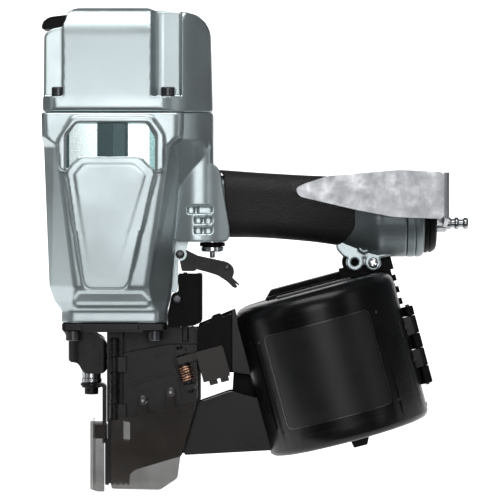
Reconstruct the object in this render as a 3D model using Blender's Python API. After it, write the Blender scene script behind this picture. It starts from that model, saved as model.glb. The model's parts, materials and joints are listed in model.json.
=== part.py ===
"""Pneumatic coil nail gun, built as separate pieces in one frame.

Units in the source are millimetres; MM turns them into Blender's metres.
The tool frame has its drive axis on X = 0, Z = 0 under the nose, the handle towards +X
and the opening side of the magazine towards -Y. One empty then centres the whole tool.
"""
import math

import bmesh
import bpy
from mathutils import Matrix, Vector

MM = 0.001
GAP = 0.3                    # clearance between neighbouring pieces
WELD = 0.000005              # metres; joins the slivers that a cut leaves

# Overall layout
TOOL_CENTRE_X = 104.0        # middle of the tool, measured from the drive axis
NOSE_TOP = 124.0             # joint between nose flange and casting
CAP_SEAM = 278.0             # joint between casting and cap
CAP_TOP = 355.0
BARREL_HALF = 52.0           # half width of the barrel at the cap seam
BOLT_SPREAD = 40.0           # cap bolts, from the drive axis
NOSE_BOLT_SPREAD = 30.0

# Drive train
BORE_RADIUS = 28.5           # inside of the cylinder
CYLINDER_RADIUS = 32.0
CYLINDER_FLOOR = 150.0
PISTON_FLOOR = 258.0
BLADE_RADIUS = 3.8
BLADE_TIP = 111.0

# Nose and feed
CHANNEL_RADIUS = 4.3
NOSE_TIP = 17.0
FEED_HALF = 5.0              # half width of the nail path
DOOR_PIN_Y = -26.0
FEED_TILT = 15.0             # degrees between the nail strip and the level

# Magazine, in its own frame tilted with the strip
MAGAZINE_X = 160.0
MAGAZINE_Z = 93.0
CAN_RADIUS = 61.0
CAN_WALL = 3.0
CAN_FLOOR = -56.0
CAN_ROOF = 57.0
CAN_HINGE_X = 66.0
THROAT_HALF = 10.0           # half distance between the throat walls

# Handle
HANDLE_END_X = 216.0
HANDLE_END_Z = 201.0
HANDLE_END_RADIUS = 29.0
PLUG_Z = 197.0
HOOK_FACE_Y = -38.0

# Trigger
TRIGGER_PIVOT = (48.2, 174.2)
TRIGGER_RIVET = (82.9, 164.2)
PLUNGER_X = 72.0


# ---------------------------------------------------------------- solids

def new_object(bm):
    """Turn a bmesh into a linked object with its faces pointing out."""
    bmesh.ops.recalc_face_normals(bm, faces=bm.faces)
    mesh = bpy.data.meshes.new("solid")
    bm.to_mesh(mesh)
    bm.free()
    solid = bpy.data.objects.new("solid", mesh)
    bpy.context.scene.collection.objects.link(solid)
    return solid


def skin(rings):
    """Close a row of equal rings of points into one body."""
    bm = bmesh.new()
    rows = [[bm.verts.new(Vector(p) * MM) for p in ring] for ring in rings]
    count = len(rings[0])
    for low, high in zip(rows, rows[1:]):
        for i in range(count):
            j = (i + 1) % count
            bm.faces.new((low[i], low[j], high[j], high[i]))
    bm.faces.new(rows[0])
    bm.faces.new(rows[-1])
    return new_object(bm)


def extrude(outline, axis, low, high):
    """Extrude an outline along an axis: XZ points along Y, XY along Z, YZ along X."""
    def place(a, b, depth):
        return {"X": (depth, a, b), "Y": (a, depth, b), "Z": (a, b, depth)}[axis]
    return skin([[place(a, b, depth) for a, b in outline] for depth in (low, high)])


def box(x0, x1, y0, y1, z0, z1):
    return extrude([(x0, y0), (x1, y0), (x1, y1), (x0, y1)], "Z", z0, z1)


def circle(cx, cy, radius, segments=16):
    turns = [2 * math.pi * (i + 0.5) / segments for i in range(segments)]
    return [(cx + radius * math.cos(t), cy + radius * math.sin(t)) for t in turns]


def rod(axis, centre, radius, low, high, segments=16):
    """Round bar along an axis; centre gives its other two coordinates in order."""
    return extrude(circle(centre[0], centre[1], radius, segments), axis, low, high)


def turned(profile, axis, centre, segments=20):
    """Skin of (distance along the axis, radius) steps, for plugs, sleeves and bolts."""
    def place(a, b, depth):
        return {"X": (depth, a, b), "Y": (a, depth, b), "Z": (a, b, depth)}[axis]
    rings = []
    for depth, radius in profile:
        ring = circle(centre[0], centre[1], radius, segments)
        rings.append([place(a, b, depth) for a, b in ring])
    return skin(rings)


def tube(axis, centre, outer, inner, low, high, segments=20):
    wall = rod(axis, centre, outer, low, high, segments)
    return cut(wall, rod(axis, centre, inner, low - 1, high + 1, segments))


def rounded(points, radius, steps=2):
    """Outline with every corner replaced by a short curve of about the radius."""
    outline = []
    count = len(points)
    for i, corner in enumerate(points):
        corner = Vector(corner)
        before = Vector(points[i - 1]) - corner
        after = Vector(points[(i + 1) % count]) - corner
        reach = min(radius, before.length / 2.1, after.length / 2.1)
        start = corner + before.normalized() * reach
        end = corner + after.normalized() * reach
        for k in range(steps + 1):
            t = k / steps
            outline.append(tuple(start.lerp(corner, t).lerp(corner.lerp(end, t), t)))
    return outline


def round_rect(a0, a1, b0, b1, corner, steps=3):
    """Rectangle with round corners, always with the same number of points."""
    corner = min(corner, (a1 - a0) / 2 - 0.01, (b1 - b0) / 2 - 0.01)
    centres = [(a1 - corner, b1 - corner), (a0 + corner, b1 - corner),
               (a0 + corner, b0 + corner), (a1 - corner, b0 + corner)]
    outline = []
    for quarter, (a, b) in enumerate(centres):
        for k in range(steps + 1):
            t = math.pi / 2 * (quarter + k / steps)
            outline.append((a + corner * math.cos(t), b + corner * math.sin(t)))
    return outline


def loft_up(stations, steps=3):
    """Skin rounded rectangles at (z, x0, x1, half depth, corner)."""
    rings = []
    for z, x0, x1, half, corner in stations:
        rings.append([(x, y, z) for x, y in round_rect(x0, x1, -half, half, corner, steps)])
    return skin(rings)


def loft_along(stations, steps=3):
    """Skin rounded rectangles at (x, centre z, half height, half depth, corner)."""
    rings = []
    for x, centre, height, half, corner in stations:
        section = round_rect(-half, half, centre - height, centre + height, corner, steps)
        rings.append([(x, y, z) for y, z in section])
    return skin(rings)


def coil(axis_point, direction, radius, wire, length, turns, per_turn=8, sides=4):
    """Spring wire wound round a line that starts at axis_point."""
    direction = Vector(direction).normalized()
    side = direction.orthogonal().normalized()
    other = direction.cross(side)
    rings = []
    total = turns * per_turn
    for i in range(total + 1):
        turn = 2 * math.pi * i / per_turn
        outward = side * math.cos(turn) + other * math.sin(turn)
        centre = Vector(axis_point) + direction * (length * i / total) + outward * radius
        ring = []
        for k in range(sides):
            around = 2 * math.pi * k / sides
            offset = outward * math.cos(around) + direction * math.sin(around)
            ring.append(centre + offset * wire)
        rings.append(ring)
    return skin(rings)


def corners(spread):
    """The four bolt positions round the drive axis."""
    return [(x, y) for x in (-spread, spread) for y in (-spread, spread)]


# ---------------------------------------------------------------- operations

def combine(target, tool, operation):
    modifier = target.modifiers.new("combine", "BOOLEAN")
    modifier.operation = operation
    modifier.solver = "EXACT"
    modifier.object = tool
    depsgraph = bpy.context.evaluated_depsgraph_get()
    mesh = bpy.data.meshes.new_from_object(target.evaluated_get(depsgraph))
    target.modifiers.clear()
    bm = bmesh.new()
    bm.from_mesh(mesh)
    bmesh.ops.remove_doubles(bm, verts=bm.verts, dist=WELD)
    bmesh.ops.dissolve_degenerate(bm, edges=bm.edges, dist=WELD)
    bm.to_mesh(mesh)
    bm.free()
    target.data = mesh
    bpy.data.objects.remove(tool)
    return target


def join(target, *tools):
    for tool in tools:
        combine(target, tool, "UNION")
    return target


def cut(target, *tools):
    for tool in tools:
        combine(target, tool, "DIFFERENCE")
    return target


def keep(target, tool):
    return combine(target, tool, "INTERSECT")


def magazine_frame():
    """Tilt about Y so that local X follows the nail strip and local Z the coil's axis."""
    place = Matrix.Translation(Vector((MAGAZINE_X, 0, MAGAZINE_Z)) * MM)
    return place @ Matrix.Rotation(-math.radians(FEED_TILT), 4, "Y")


def tilted(solid):
    solid.data.transform(magazine_frame())
    return solid


def in_tool(local):
    """Tool-frame point of a magazine-frame point, in millimetres."""
    return tuple(magazine_frame() @ (Vector(local) * MM) / MM)


def finish(name, colour, roughness, metallic):
    material = bpy.data.materials.new(name)
    material.use_nodes = True
    surface = material.node_tree.nodes["Principled BSDF"]
    surface.inputs["Base Color"].default_value = (*colour, 1.0)
    surface.inputs["Roughness"].default_value = roughness
    surface.inputs["Metallic"].default_value = metallic
    material.diffuse_color = (*colour, 1.0)
    return material


def piece(name, solid, material, origin=(0, 0, 0)):
    """Name a finished solid, put its origin on its joint and hang it on the tool frame."""
    origin = Vector(origin) * MM
    solid.data.transform(Matrix.Translation(-origin))
    solid.name = name
    solid.data.name = name
    solid.data.materials.clear()
    solid.data.materials.append(material)
    solid.data.shade_smooth()
    solid.data.set_sharp_from_angle(angle=math.radians(35))
    solid.parent = bpy.data.objects["tool_frame"]
    solid.location = origin
    return solid


def socket_bolt(axis, centre, head_low, head_high, head_radius, shank_low, shank_radius,
                socket=True):
    """Cap screw: the head between two heights, the shank reaching to shank_low."""
    shank = rod(axis, centre, shank_radius, min(shank_low, head_low), max(shank_low, head_high), 8)
    head = rod(axis, centre, head_radius, head_low, head_high, 16)
    bolt = join(head, shank)
    if socket:
        top = head_high if shank_low < head_low else head_low
        depth = 0.5 * head_radius
        bolt = cut(bolt, rod(axis, centre, head_radius * 0.5, top - depth, top + depth, 6))
    return bolt


# ---------------------------------------------------------------- housing

def extension_plan(back):
    """Plan of the air chamber that joins the barrel to the handle."""
    return rounded([(0, -35), (54, -35), (67, -29), (back, -23), (back, 23), (67, 29),
                    (54, 35), (0, 35)], 8)


def badge_frame(depth):
    """Raised hexagonal surround on the near side of the barrel, with its window recess."""
    frame = rounded([(-40, 240), (-31, 274), (22, 274), (33, 240), (28, 232), (-34, 232)], 5)
    window = rounded([(-34, 243), (-28, 268), (20, 268), (28, 243), (24, 238), (-30, 238)], 4)
    plate = extrude(frame, "Y", depth, depth + 8)
    return cut(plate, extrude(window, "Y", depth - 1, depth + 1.2))


def tapered_panel(depth):
    """Long raised panel that narrows from the badge down to the nose."""
    panel = rounded([(-34, 239), (29, 239), (15, 148), (-21, 148)], 4)
    return extrude(panel, "Y", depth, depth + 9)


def body_casting():
    barrel = loft_up([
        (NOSE_TOP, -38.5, 38.5, 38, 8),
        (132, -38.5, 38.5, 38, 8),
        (147, -47.8, 42, 44, 13),
        (177, -48.3, 43, 47, 15),
        (215, -49, 47, 50, 17),
        (262, -51.5, 51.5, 52, 18),
        (CAP_SEAM, -BARREL_HALF, BARREL_HALF, 52, 18)])
    for x, y in corners(NOSE_BOLT_SPREAD):
        barrel = cut(barrel, rod("Z", (x, y), 3.3, NOSE_TOP - 1, 131.3, 8))
    for x, y in corners(BOLT_SPREAD):
        barrel = cut(barrel, rod("Z", (x, y), 3.3, 262.7, CAP_SEAM + 1, 8))
    outline = rounded([(20, CAP_SEAM), (73, CAP_SEAM), (73, 238), (80, 232), (83, 188),
                       (81, 182), (58, 182), (48, 196), (20, 205)], 3)
    chamber = keep(extrude(outline, "Y", -46, 46), extrude(extension_plan(90), "Z", 170, 290))
    handle = loft_along([
        (56, 212, 21, 15, 10), (90, 211, 21, 15, 10), (160, 206.5, 21.5, 15.5, 10),
        (180, 203, 25, 22, 14), (192, HANDLE_END_Z, 29, 29, 29),
        (HANDLE_END_X, HANDLE_END_Z, 29, 29, 29)])
    for side in (-1, 1):
        lug = rod("Y", TRIGGER_PIVOT, 4.9, side * 8, side * 11)
        web = extrude([(40, 172), (48, 171), (52, 176), (56, 190), (40, 192)], "Y", side * 8, side * 11)
        barrel = join(barrel, join(web, lug))
    casting = join(barrel, chamber, handle, tapered_panel(-53.5), badge_frame(-56), bracket())
    bore = turned([(133, 34), (150, 36), (CAP_SEAM + 1, 43)], "Z", (0, 0), 24)
    nose_seat = rod("Z", (0, 0), 14, NOSE_TOP - 1, 134)
    passage = loft_along([(30, 212, 16, 11, 8), (150, 206.5, 17, 12, 8),
                          (HANDLE_END_X + 1, HANDLE_END_Z, 22, 22, 22)])
    valve_bore = rod("Z", (PLUNGER_X, 0), 8, 180, 204)
    pin = rod("Y", TRIGGER_PIVOT, 2.3, -12, 12, 12)
    casting = cut(casting, bore, nose_seat, passage, valve_bore, pin)
    return casting


def bracket():
    """Lugs under the handle end that carry the top of the magazine."""
    block = extrude(rounded([(164, 184), (206, 184), (206, 174), (198, 171), (170, 171), (164, 178)], 2),
                    "Y", -10, 10)
    for x, z, radius in ((177.7, 168.2, 6.3), (191.4, 167.9, 5.8)):
        block = join(block, rod("Y", (x, z), radius, -10, 10))
        block = cut(block, rod("Y", (x, z), 2.8, -11, 11, 16))
    return block


def cylinder_cap():
    side = rounded([(-51, CAP_SEAM + GAP), (-51, 336), (-46, 340), (-36, 342), (-32, CAP_TOP - 2),
                    (-28, CAP_TOP), (26, CAP_TOP), (30, 353), (50, 352), (60, 350), (67, 345),
                    (71, 338), (72.5, CAP_SEAM + GAP)], 2, 2)
    plan = rounded([(-52, -46), (-46, -52), (40, -52), (56, -42), (73, -24), (73, 24), (56, 42),
                    (40, 52), (-46, 52), (-52, 46)], 8)
    front = rounded([(-52, CAP_SEAM), (-52, 340), (-46, CAP_TOP), (46, CAP_TOP), (52, 340),
                     (52, CAP_SEAM)], 6)
    cap = keep(extrude(side, "Y", -60, 60), extrude(plan, "Z", 270, 360))
    cap = keep(cap, extrude(front, "X", -60, 80))
    for x, y in corners(BOLT_SPREAD):
        inner_y, outer_y = y - math.copysign(8, y), math.copysign(60, y)
        left, right = (x - 8.3, x + 10) if x < 0 else (x - 11, x + 9.5)
        notch = extrude(rounded([(left, inner_y), (right, inner_y), (right + 2, outer_y),
                                 (left, outer_y)], 4), "Z", 290, 344)
        cap = cut(cap, notch, rod("Z", (x, y), 3.3, 270, 300, 8))
    well = join(rod("Z", (-8, 0), 21.5, 341, 360, 24), box(-60, -8, -26, 26, 341, 360))
    hollow = turned([(CAP_SEAM - 1, 38), (322, 38), (328, 30)], "Z", (0, 0), 24)
    exhaust = rod("Z", (-8, 0), 10, 320, 342)
    return cut(cap, well, hollow, exhaust)


def exhaust_deflector():
    """Low swivelling hood whose mouth points forward and down over the cap's edge."""
    hood = join(rod("Z", (-8, 0), 20.5, 341.3, 351, 24),
                extrude(rounded([(-8, 341.3), (-44, 341.3), (-52.5, 340.2), (-54.3, 341.4),
                                 (-53, 346), (-48, 349.5), (-36, 351), (-8, 351)], 1.5), "Y", -14, 14))
    throat = extrude([(-8, 340), (-46, 340), (-46, 347.5), (-8, 347.5)], "Y", -11, 11)
    mouth = box(-60, -45, -11, 11, 343, 346.5)
    hood = cut(hood, join(throat, rod("Z", (-8, 0), 16, 340, 347.5, 24)), mouth)
    hood = join(hood, tube("Z", (-8, 0), 5, 2.3, 341.3, 349, 16))
    return cut(hood, rod("Z", (-8, 0), 2.3, 340, 352, 16))


def build_housing(silver, rubber, steel, black):
    piece("body_casting", body_casting(), silver)
    piece("cylinder_cap", cylinder_cap(), silver)
    for number, centre in enumerate(corners(BOLT_SPREAD), 1):
        bolt = socket_bolt("Z", centre, 290.3, 297, 5, 264, 3)
        piece(f"cap_bolt_{number}", bolt, steel)
    piece("exhaust_deflector", exhaust_deflector(), black, (-8, 0, 341))
    bolt = join(rod("Z", (-8, 0), 4.5, 351.3, 354, 6), rod("Z", (-8, 0), 2, 342, 352, 8))
    piece("deflector_bolt", bolt, steel)
    grip_stations = [(71, 212, 25, 21, 12), (84, 211.5, 24.6, 20, 14), (110, 210.5, 24, 19, 14),
                     (157, 207, 25, 19.5, 14), (163, 205, 22, 20.5, 14)]
    core_stations = [(50, 212, 21.3, 15.3, 10), (90, 211, 21.3, 15.3, 10),
                     (160, 206.5, 21.8, 15.8, 10), (180, 203, 25.3, 22.3, 14)]
    grip = loft_along(grip_stations)
    collar = extrude(extension_plan(95), "Z", 170, 290)
    ring = extrude(rounded([(70, 250), (73.3, 238.2), (80.3, 232.2), (83.3, 188.2), (82, 175), (40, 175),
                            (40, 250)], 2), "Y", -50, 50)
    grip = cut(grip, keep(ring, collar), loft_along(core_stations))
    piece("handle_grip", grip, rubber)


def build_drive(steel, rubber, black, silver):
    liner = turned([(CYLINDER_FLOOR, CYLINDER_RADIUS), (277, CYLINDER_RADIUS)], "Z", (0, 0), 28)
    piece("cylinder", cut(liner, rod("Z", (0, 0), BORE_RADIUS, 140, 290, 28)), steel)
    seal = tube("Z", (0, 0), CYLINDER_RADIUS + 4, CYLINDER_RADIUS + GAP, 172, 178, 24)
    piece("cylinder_seal", seal, rubber)
    bumper = turned([(133.5, 31), (140, 33), (144, 27), (149.5, 26)], "Z", (0, 0), 24)
    piece("piston_bumper", cut(bumper, rod("Z", (0, 0), 7, 130, 152)), rubber)
    head = turned([(PISTON_FLOOR, 20), (262, 28.1), (264, 28.1), (264, 25.5), (268, 25.5),
                   (268, 28.1), (272, 28.1)], "Z", (0, 0), 28)
    socket = rod("Z", (0, 0), BLADE_RADIUS + GAP, 250, 266, 16)
    piece("piston", cut(head, socket), silver)
    piece("piston_ring", tube("Z", (0, 0), 28.3, 25.8, 264.3, 267.7, 28), rubber)
    piece("driver_blade", rod("Z", (0, 0), BLADE_RADIUS, BLADE_TIP, 265.5, 16), steel)
    valve = turned([(279, 36), (292, 36), (292, 24), (298, 24)], "Z", (0, 0), 24)
    piece("head_valve", cut(valve, rod("Z", (0, 0), 18, 270, 300, 24)), black)
    spring = coil((0, 0, 299.5), (0, 0, 1), 22, 1.1, 20, 3)
    piece("head_valve_spring", spring, steel)


# ---------------------------------------------------------------- nose and contact arm

def nose():
    """Flange, driver column and the fixed far wall of the nail path, in one forging."""
    flange = box(-38, 38, -38, 38, 117.5, NOSE_TOP - GAP)
    for x, y in corners(NOSE_BOLT_SPREAD):
        out_x, out_y = math.copysign(12, x), math.copysign(12, y)
        corner = box(*sorted((x - out_x * 0.7, x + out_x)), *sorted((y - out_y * 0.7, y + out_y)), 110, 119)
        flange = cut(flange, corner, rod("Z", (x, y), 3.3, 110, 126, 8))
    boss = rod("Z", (0, 0), 13.5, 118, 129)
    column = box(-6, 5.6, -12, 12, 50, 118)
    tip = box(-5.6, 5.6, -7, 7, NOSE_TIP, 51)
    wall = extrude([(2, 118), (38, 118), (38, 108.5), (61, 108.5), (61, 64), (50, 26), (21, 18), (11.4, 12), (11.4, 50),
                    (2, 50)], "Y", FEED_HALF, FEED_HALF + 4)
    body = join(flange, boss, column, tip, wall)
    channel = rod("Z", (0, 0), CHANNEL_RADIUS, 0, 140)
    path = box(0, 12, -4.3, 4.3, 10, 108)
    slot = box(-39.5, -26, -30, -13, -2.2, 2.2)
    slot.data.transform(feeder_frame())
    return cut(body, channel, path, slot)


def spring_housing():
    """Plastic housing of the contact arm's return spring, open below and at the far side."""
    side = rounded([(-34.8, 117), (-34.8, 96), (-33, 94.2), (-27.5, 94), (-23, 86), (-9, 86),
                    (-6.4, 88), (-6.4, 117)], 2)
    shell = keep(extrude(side, "Y", -15, 15), extrude(rounded([(-34.8, -9), (-29, -15), (-6.4, -15),
                 (-6.4, 15), (-29, 15), (-34.8, 9)], 2), "Z", 80, 120))
    bore = rod("Z", (-18, 0), 8.6, 80, 115.6)
    window = box(-22.5, -6, 0, 20, 92.5, 110)
    arm_slot = box(-14.5, -6, -7.4, 7.4, 84, 92.6)
    return cut(shell, bore, window, arm_slot)


def contact_arm():
    """Bent flat arm from the adjuster down to the foot that meets the wood."""
    flange = join(keep(box(-27, -8, -9, 9, 76.3, 78.3), rod("Z", (-18, 0), 8.2, 70, 80, 24)),
                  box(-14, -8, -7, 7, 76.3, 78.3))
    bar = box(-9.6, -7, -7, 7, 40, 78.3)
    bridge = join(box(-15, -6.3, -9.5, 9.5, 37.5, 47.5), box(-9.6, -6.3, -7, 7, 34, 44))
    foot = extrude(rounded([(-7.6, 3), (10.4, 3), (10.4, 35.4), (-7.6, 36.4)], 1), "Y", -9.5, 9.5)
    arm = join(flange, bar, bridge, foot)
    clearance = box(-6.3, 6.1, -7.6, 7.6, -1, 60)
    feed_side = box(5, 12, -4.4, 4.4, 8, 60)
    bolt_hole = rod("Z", (-18, 0), 2.4, 70, 80, 8)
    return cut(arm, clearance, feed_side, bolt_hole)


def upper_link():
    """Plate that carries the arm's travel round the far side of the nose to the trigger."""
    tab = box(-22.2, -13.8, -4, 17, 94, 96.5)
    bar = box(-22.2, 57, 14, 17, 94, 100)
    riser = join(box(50.3, 53.3, 14, 17, 94, 112), box(50.3, 53.3, -2, 17, 110, 150))
    blade = box(50.3, 53.3, -2, 2, 149, 160.6)
    return cut(join(tab, bar, riser, blade), rod("Z", (-18, 0), 2.4, 90, 98, 8))


def build_contact(steel, black, zinc, smoke):
    piece("nose", nose(), steel)
    for number, centre in enumerate(corners(NOSE_BOLT_SPREAD), 1):
        bolt = socket_bolt("Z", centre, 111, 118.6, 5.5, 129, 3)
        piece(f"nose_bolt_{number}", bolt, steel)
    piece("spring_housing", spring_housing(), black)
    push_rod = join(rod("Z", (-18, 0), 2.1, 83.5, 105, 8), rod("Z", (-18, 0), 6.4, 96.8, 99.2, 16))
    piece("push_rod", push_rod, steel, (-18, 0, 92))
    spring = coil((-18, 0, 100.3), (0, 0, 1), 5.5, 0.7, 14.3, 4)
    piece("contact_spring", spring, steel, (-18, 0, 114.6))
    adjuster = turned([(78.6, 7.7), (89.7, 7.7)], "Z", (-18, 0), 24)
    piece("depth_adjuster", cut(adjuster, rod("Z", (-18, 0), 2.4, 70, 90, 8)), zinc, (-18, 0, 84))
    bolt = join(rod("Z", (-18, 0), 5.2, 69.8, 76, 16), rod("Z", (-18, 0), 2.1, 75, 80, 8))
    piece("arm_bolt", bolt, steel, (-18, 0, 76))
    piece("contact_arm", contact_arm(), black, (-18, 0, 78))
    piece("upper_link", upper_link(), black)
    face = extrude([(-17.5, 2), (-12, 0), (-7, 0), (-7, 52), (-17.5, 52)], "Y", -32, -30.3)
    wing = join(face, box(-17.5, -15.4, -32, 9, 2, 52))
    piece("side_shield", wing, smoke)
    outline = [(-2, 2.2), (-2, 52), (40, 62), (61.2, 65.2), (48.9, 25.8), (46.7, 10), (34, 1.4)]
    front = extrude(outline, "Y", -32, -30.3)
    for x, z in ((21, 66.9), (41.5, 72.9)):
        front = join(front, box(x - 3, x + 3, -32, -30.3, 50, z + 3))
    piece("front_shield", front, smoke)


# ---------------------------------------------------------------- trigger

def trigger():
    """Channel-shaped lever hung from its pin, with a curved finger face at the far end."""
    outline = rounded([(44.2, 177), (47, 178.4), (51, 178), (61, 173), (83, 168.3), (87.4, 165), (88.4, 160),
                       (86.5, 156), (91, 149.5), (88, 149), (83, 154), (76, 158.5), (68, 161), (60, 163),
                       (51, 169), (46, 169.6), (44.2, 171.5)], 1.5, 2)
    lever = extrude(outline, "Y", -7.3, 7.3)
    hollow = extrude([(36, 190), (36, 166), (52, 166), (68, 163), (86, 159), (86, 190)], "Y", -4.8, 4.8)
    holes = [rod("Y", TRIGGER_PIVOT, 2.3, -12, 12, 16), rod("Y", TRIGGER_RIVET, 1.8, -12, 12, 8),
             rod("Y", (65, 167.5), 2.4, -12, 12, 8)]
    return cut(lever, hollow, *holes)


def trigger_arm():
    x, z = TRIGGER_RIVET
    arm = extrude(rounded([(x - 3, z - 2), (x + 2.5, z - 2), (x + 2.5, z + 2.5), (x - 8, z + 5.2),
                           (x - 26, z + 6.2), (x - 31.5, z + 5.4), (x - 31.5, z + 3)], 1), "Y", -4, 4)
    return cut(arm, rod("Y", TRIGGER_RIVET, 1.8, -9, 9, 8))


def lever_guard():
    """Black cover over the link, screwed to the lower right of the casting."""
    outline = rounded([(44.5, 160), (64.5, 160), (64.5, 124), (58, 121), (39, 120), (39, 130),
                       (44.5, 146)], 2)
    shell = extrude(outline, "Y", -9, 19)
    inside = box(48, 61, -6, 22, 100, 170)
    return cut(shell, inside, rod("Y", (46, 141), 1.6, -12, 0, 8))


def build_trigger(steel, black, zinc, brass):
    pivot = (TRIGGER_PIVOT[0], 0, TRIGGER_PIVOT[1])
    rivet = (TRIGGER_RIVET[0], 0, TRIGGER_RIVET[1])
    piece("trigger", trigger(), black, pivot)
    piece("trigger_pin", rod("Y", TRIGGER_PIVOT, 2.0, -12.5, 12.5, 16), steel, pivot)
    piece("trigger_arm", trigger_arm(), steel, rivet)
    piece("trigger_arm_pin", rod("Y", TRIGGER_RIVET, 1.5, -7.8, 7.8, 8), steel, rivet)
    valve = turned([(176, 7), (181, 7), (181, 7.6), (201, 7.6)], "Z", (PLUNGER_X, 0), 24)
    valve = cut(valve, turned([(175, 2.4), (183, 2.4), (183, 4.6), (202, 4.6)], "Z", (PLUNGER_X, 0), 16))
    piece("valve_body", valve, zinc)
    plunger = turned([(171.4, 2), (184, 2), (184, 4.2), (187, 4.2)], "Z", (PLUNGER_X, 0), 16)
    piece("valve_plunger", plunger, steel, (PLUNGER_X, 0, 171))
    piece("plunger_spring", coil((PLUNGER_X, 0, 188), (0, 0, 1), 3.3, 0.5, 9, 4), steel,
          (PLUNGER_X, 0, 188))
    piece("lever_guard", lever_guard(), black)
    screw = join(rod("Y", (46, 141), 3.1, -10.8, -9.3, 16), rod("Y", (46, 141), 1.3, -10, -1, 8))
    piece("guard_screw", screw, zinc)


# ---------------------------------------------------------------- handle end

def air_plug():
    """Quick-connect nipple: threaded root, hex and stepped nose, bored through."""
    z = PLUG_Z
    root = turned([(229, 4.6), (238.6, 4.6)], "X", (0, z))
    hexagon = rod("X", (0, z), 6.3, 238.4, 246.4, 6)
    nose_part = turned([(246, 4.6), (249, 4.6), (250, 3.4), (252, 3.4), (252.6, 4.4), (254.6, 4.4),
                        (255.4, 3.0), (258.4, 3.0), (259.2, 4.1), (261.2, 4.1), (262.2, 3.4)],
                       "X", (0, z), 16)
    return cut(join(hexagon, root, nose_part), rod("X", (0, z), 1.9, 220, 270, 8))


def rafter_hook():
    """Sheet hook: a broad tongue beside the handle, bent round to a plate on the end."""
    face = HOOK_FACE_Y
    tongue = rounded([(133, 223), (140, 226.5), (157, 232), (209, 236.5), (240, 235), (246, 231),
                      (246, 201), (205, 202), (179, 207), (136, 217)], 3)
    sheet = extrude(tongue, "Y", face - 3, face)
    rear_outline = rounded([(face - 3, 201), (face - 3, 233), (2, 222), (14, 210), (15, 197), (8, 186),
                            (-6, 184), (-20, 196)], 4)
    rear = extrude(rear_outline, "X", 242.8, 246)
    hook = join(sheet, rear)
    return cut(hook, rod("X", (0, PLUG_Z), 7, 240, 250))


def build_handle_end(silver, black, steel, mottled):
    cap = turned([(HANDLE_END_X + GAP, HANDLE_END_RADIUS), (226, HANDLE_END_RADIUS),
                  (229, HANDLE_END_RADIUS - 3)], "X", (0, HANDLE_END_Z), 28)
    recess = rod("X", (0, HANDLE_END_Z), 20, 200, 224, 24)
    thread = rod("X", (0, PLUG_Z), 5, 200, 240, 16)
    piece("end_cap", cut(cap, recess, thread), silver)
    cover = turned([(229.3, HANDLE_END_RADIUS - 3), (236, HANDLE_END_RADIUS - 4),
                    (238, HANDLE_END_RADIUS - 7)], "X", (0, HANDLE_END_Z), 28)
    piece("end_cover", cut(cover, rod("X", (0, PLUG_Z), 5, 220, 240, 16)), black)
    piece("air_plug", air_plug(), steel)
    piece("rafter_hook", rafter_hook(), mottled, (242.8, 0, PLUG_Z))


# ---------------------------------------------------------------- magazine

def half_can(side):
    """Half of the drum, its end plates and its knuckle webs; side is -1 near, +1 far."""
    half = sorted((side * GAP / 2, side * (CAN_RADIUS + 20)))
    drum = turned([(CAN_FLOOR, CAN_RADIUS - 2), (CAN_FLOOR + 2, CAN_RADIUS),
                   (CAN_ROOF - 2, CAN_RADIUS), (CAN_ROOF, CAN_RADIUS - 2)], "Z", (0, 0), 40)
    hollow = rod("Z", (0, 0), CAN_RADIUS - CAN_WALL, CAN_FLOOR + CAN_WALL, CAN_ROOF - CAN_WALL, 40)
    drum = cut(drum, hollow)
    drum = keep(drum, box(-90, 90, *half, -80, 80))
    mouth = sorted((-side * 1, side * (THROAT_HALF + 0.6)))
    return cut(drum, box(-80, -30, *mouth, CAN_FLOOR + CAN_WALL, CAN_ROOF - CAN_WALL))


def throat_wall(side):
    """Flat walls that guide the nails from the drum to the nose, above and below a window."""
    depth = sorted((side * THROAT_HALF, side * (THROAT_HALF + 4)))
    start = 62 if side > 0 else 87
    upper = rounded([(start, 87), (start, 133 if side < 0 else 122), (88, 133), (112, 142), (118, 118),
                     (112, 84)], 2)
    lower = rounded([(51.8, 25.5), (62.2, 64.5), (86, 73), (104, 68), (122, 70), (122, 29.4)], 2)
    return join(extrude(upper, "Y", *depth), extrude(lower, "Y", *depth))


def outside_drum():
    """Everything but the drum's hollow, to trim the throat walls where they meet it."""
    return tilted(rod("Z", (0, 0), CAN_RADIUS - 1, -75, 75, 40))


def knuckles(side, spans):
    barrels = []
    for low, high in spans:
        barrel = rod("Z", (CAN_HINGE_X, 0), 3.6, low, high, 16)
        web = box(CAN_RADIUS - 4, CAN_HINGE_X, *sorted((side * 0.2, side * 6)), low, high)
        barrels.append(join(barrel, web))
    return barrels


def raised_field(outline, radius):
    """Part of an outline's prism that stands out from the drum as far as the radius."""
    field = keep(outline, rod("Z", (0, 0), radius, -70, 70, 48))
    return cut(field, rod("Z", (0, 0), CAN_RADIUS - 1.5, -80, 80, 40))


def magazine_cover():
    drum = half_can(-1)
    label = rounded([(-43, -37), (-43, 34), (36, 34), (36, -37)], 5)
    panel = raised_field(extrude(label, "Y", -80, -30), CAN_RADIUS + 1.4)
    ribs = [raised_field(box(-36, 28, -80, -30, low, low + 3), CAN_RADIUS + 1) for low in (39.5, -45.5)]
    cover = join(drum, panel, *ribs)
    boss = rod("Z", (0, 0), 10, CAN_FLOOR - 1, CAN_FLOOR + CAN_WALL + 1, 24)
    cover = cut(cover, boss)
    web_block = knuckles(-1, ((-19.7, -6.3), (5.3, 18.7)))
    cover = tilted(join(cover, *web_block))
    cover = join(cover, cut(throat_wall(-1), outside_drum()))
    return cut(cover, tilted(rod("Z", (CAN_HINGE_X, 0), 1.8, -60, 60, 12)))


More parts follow.
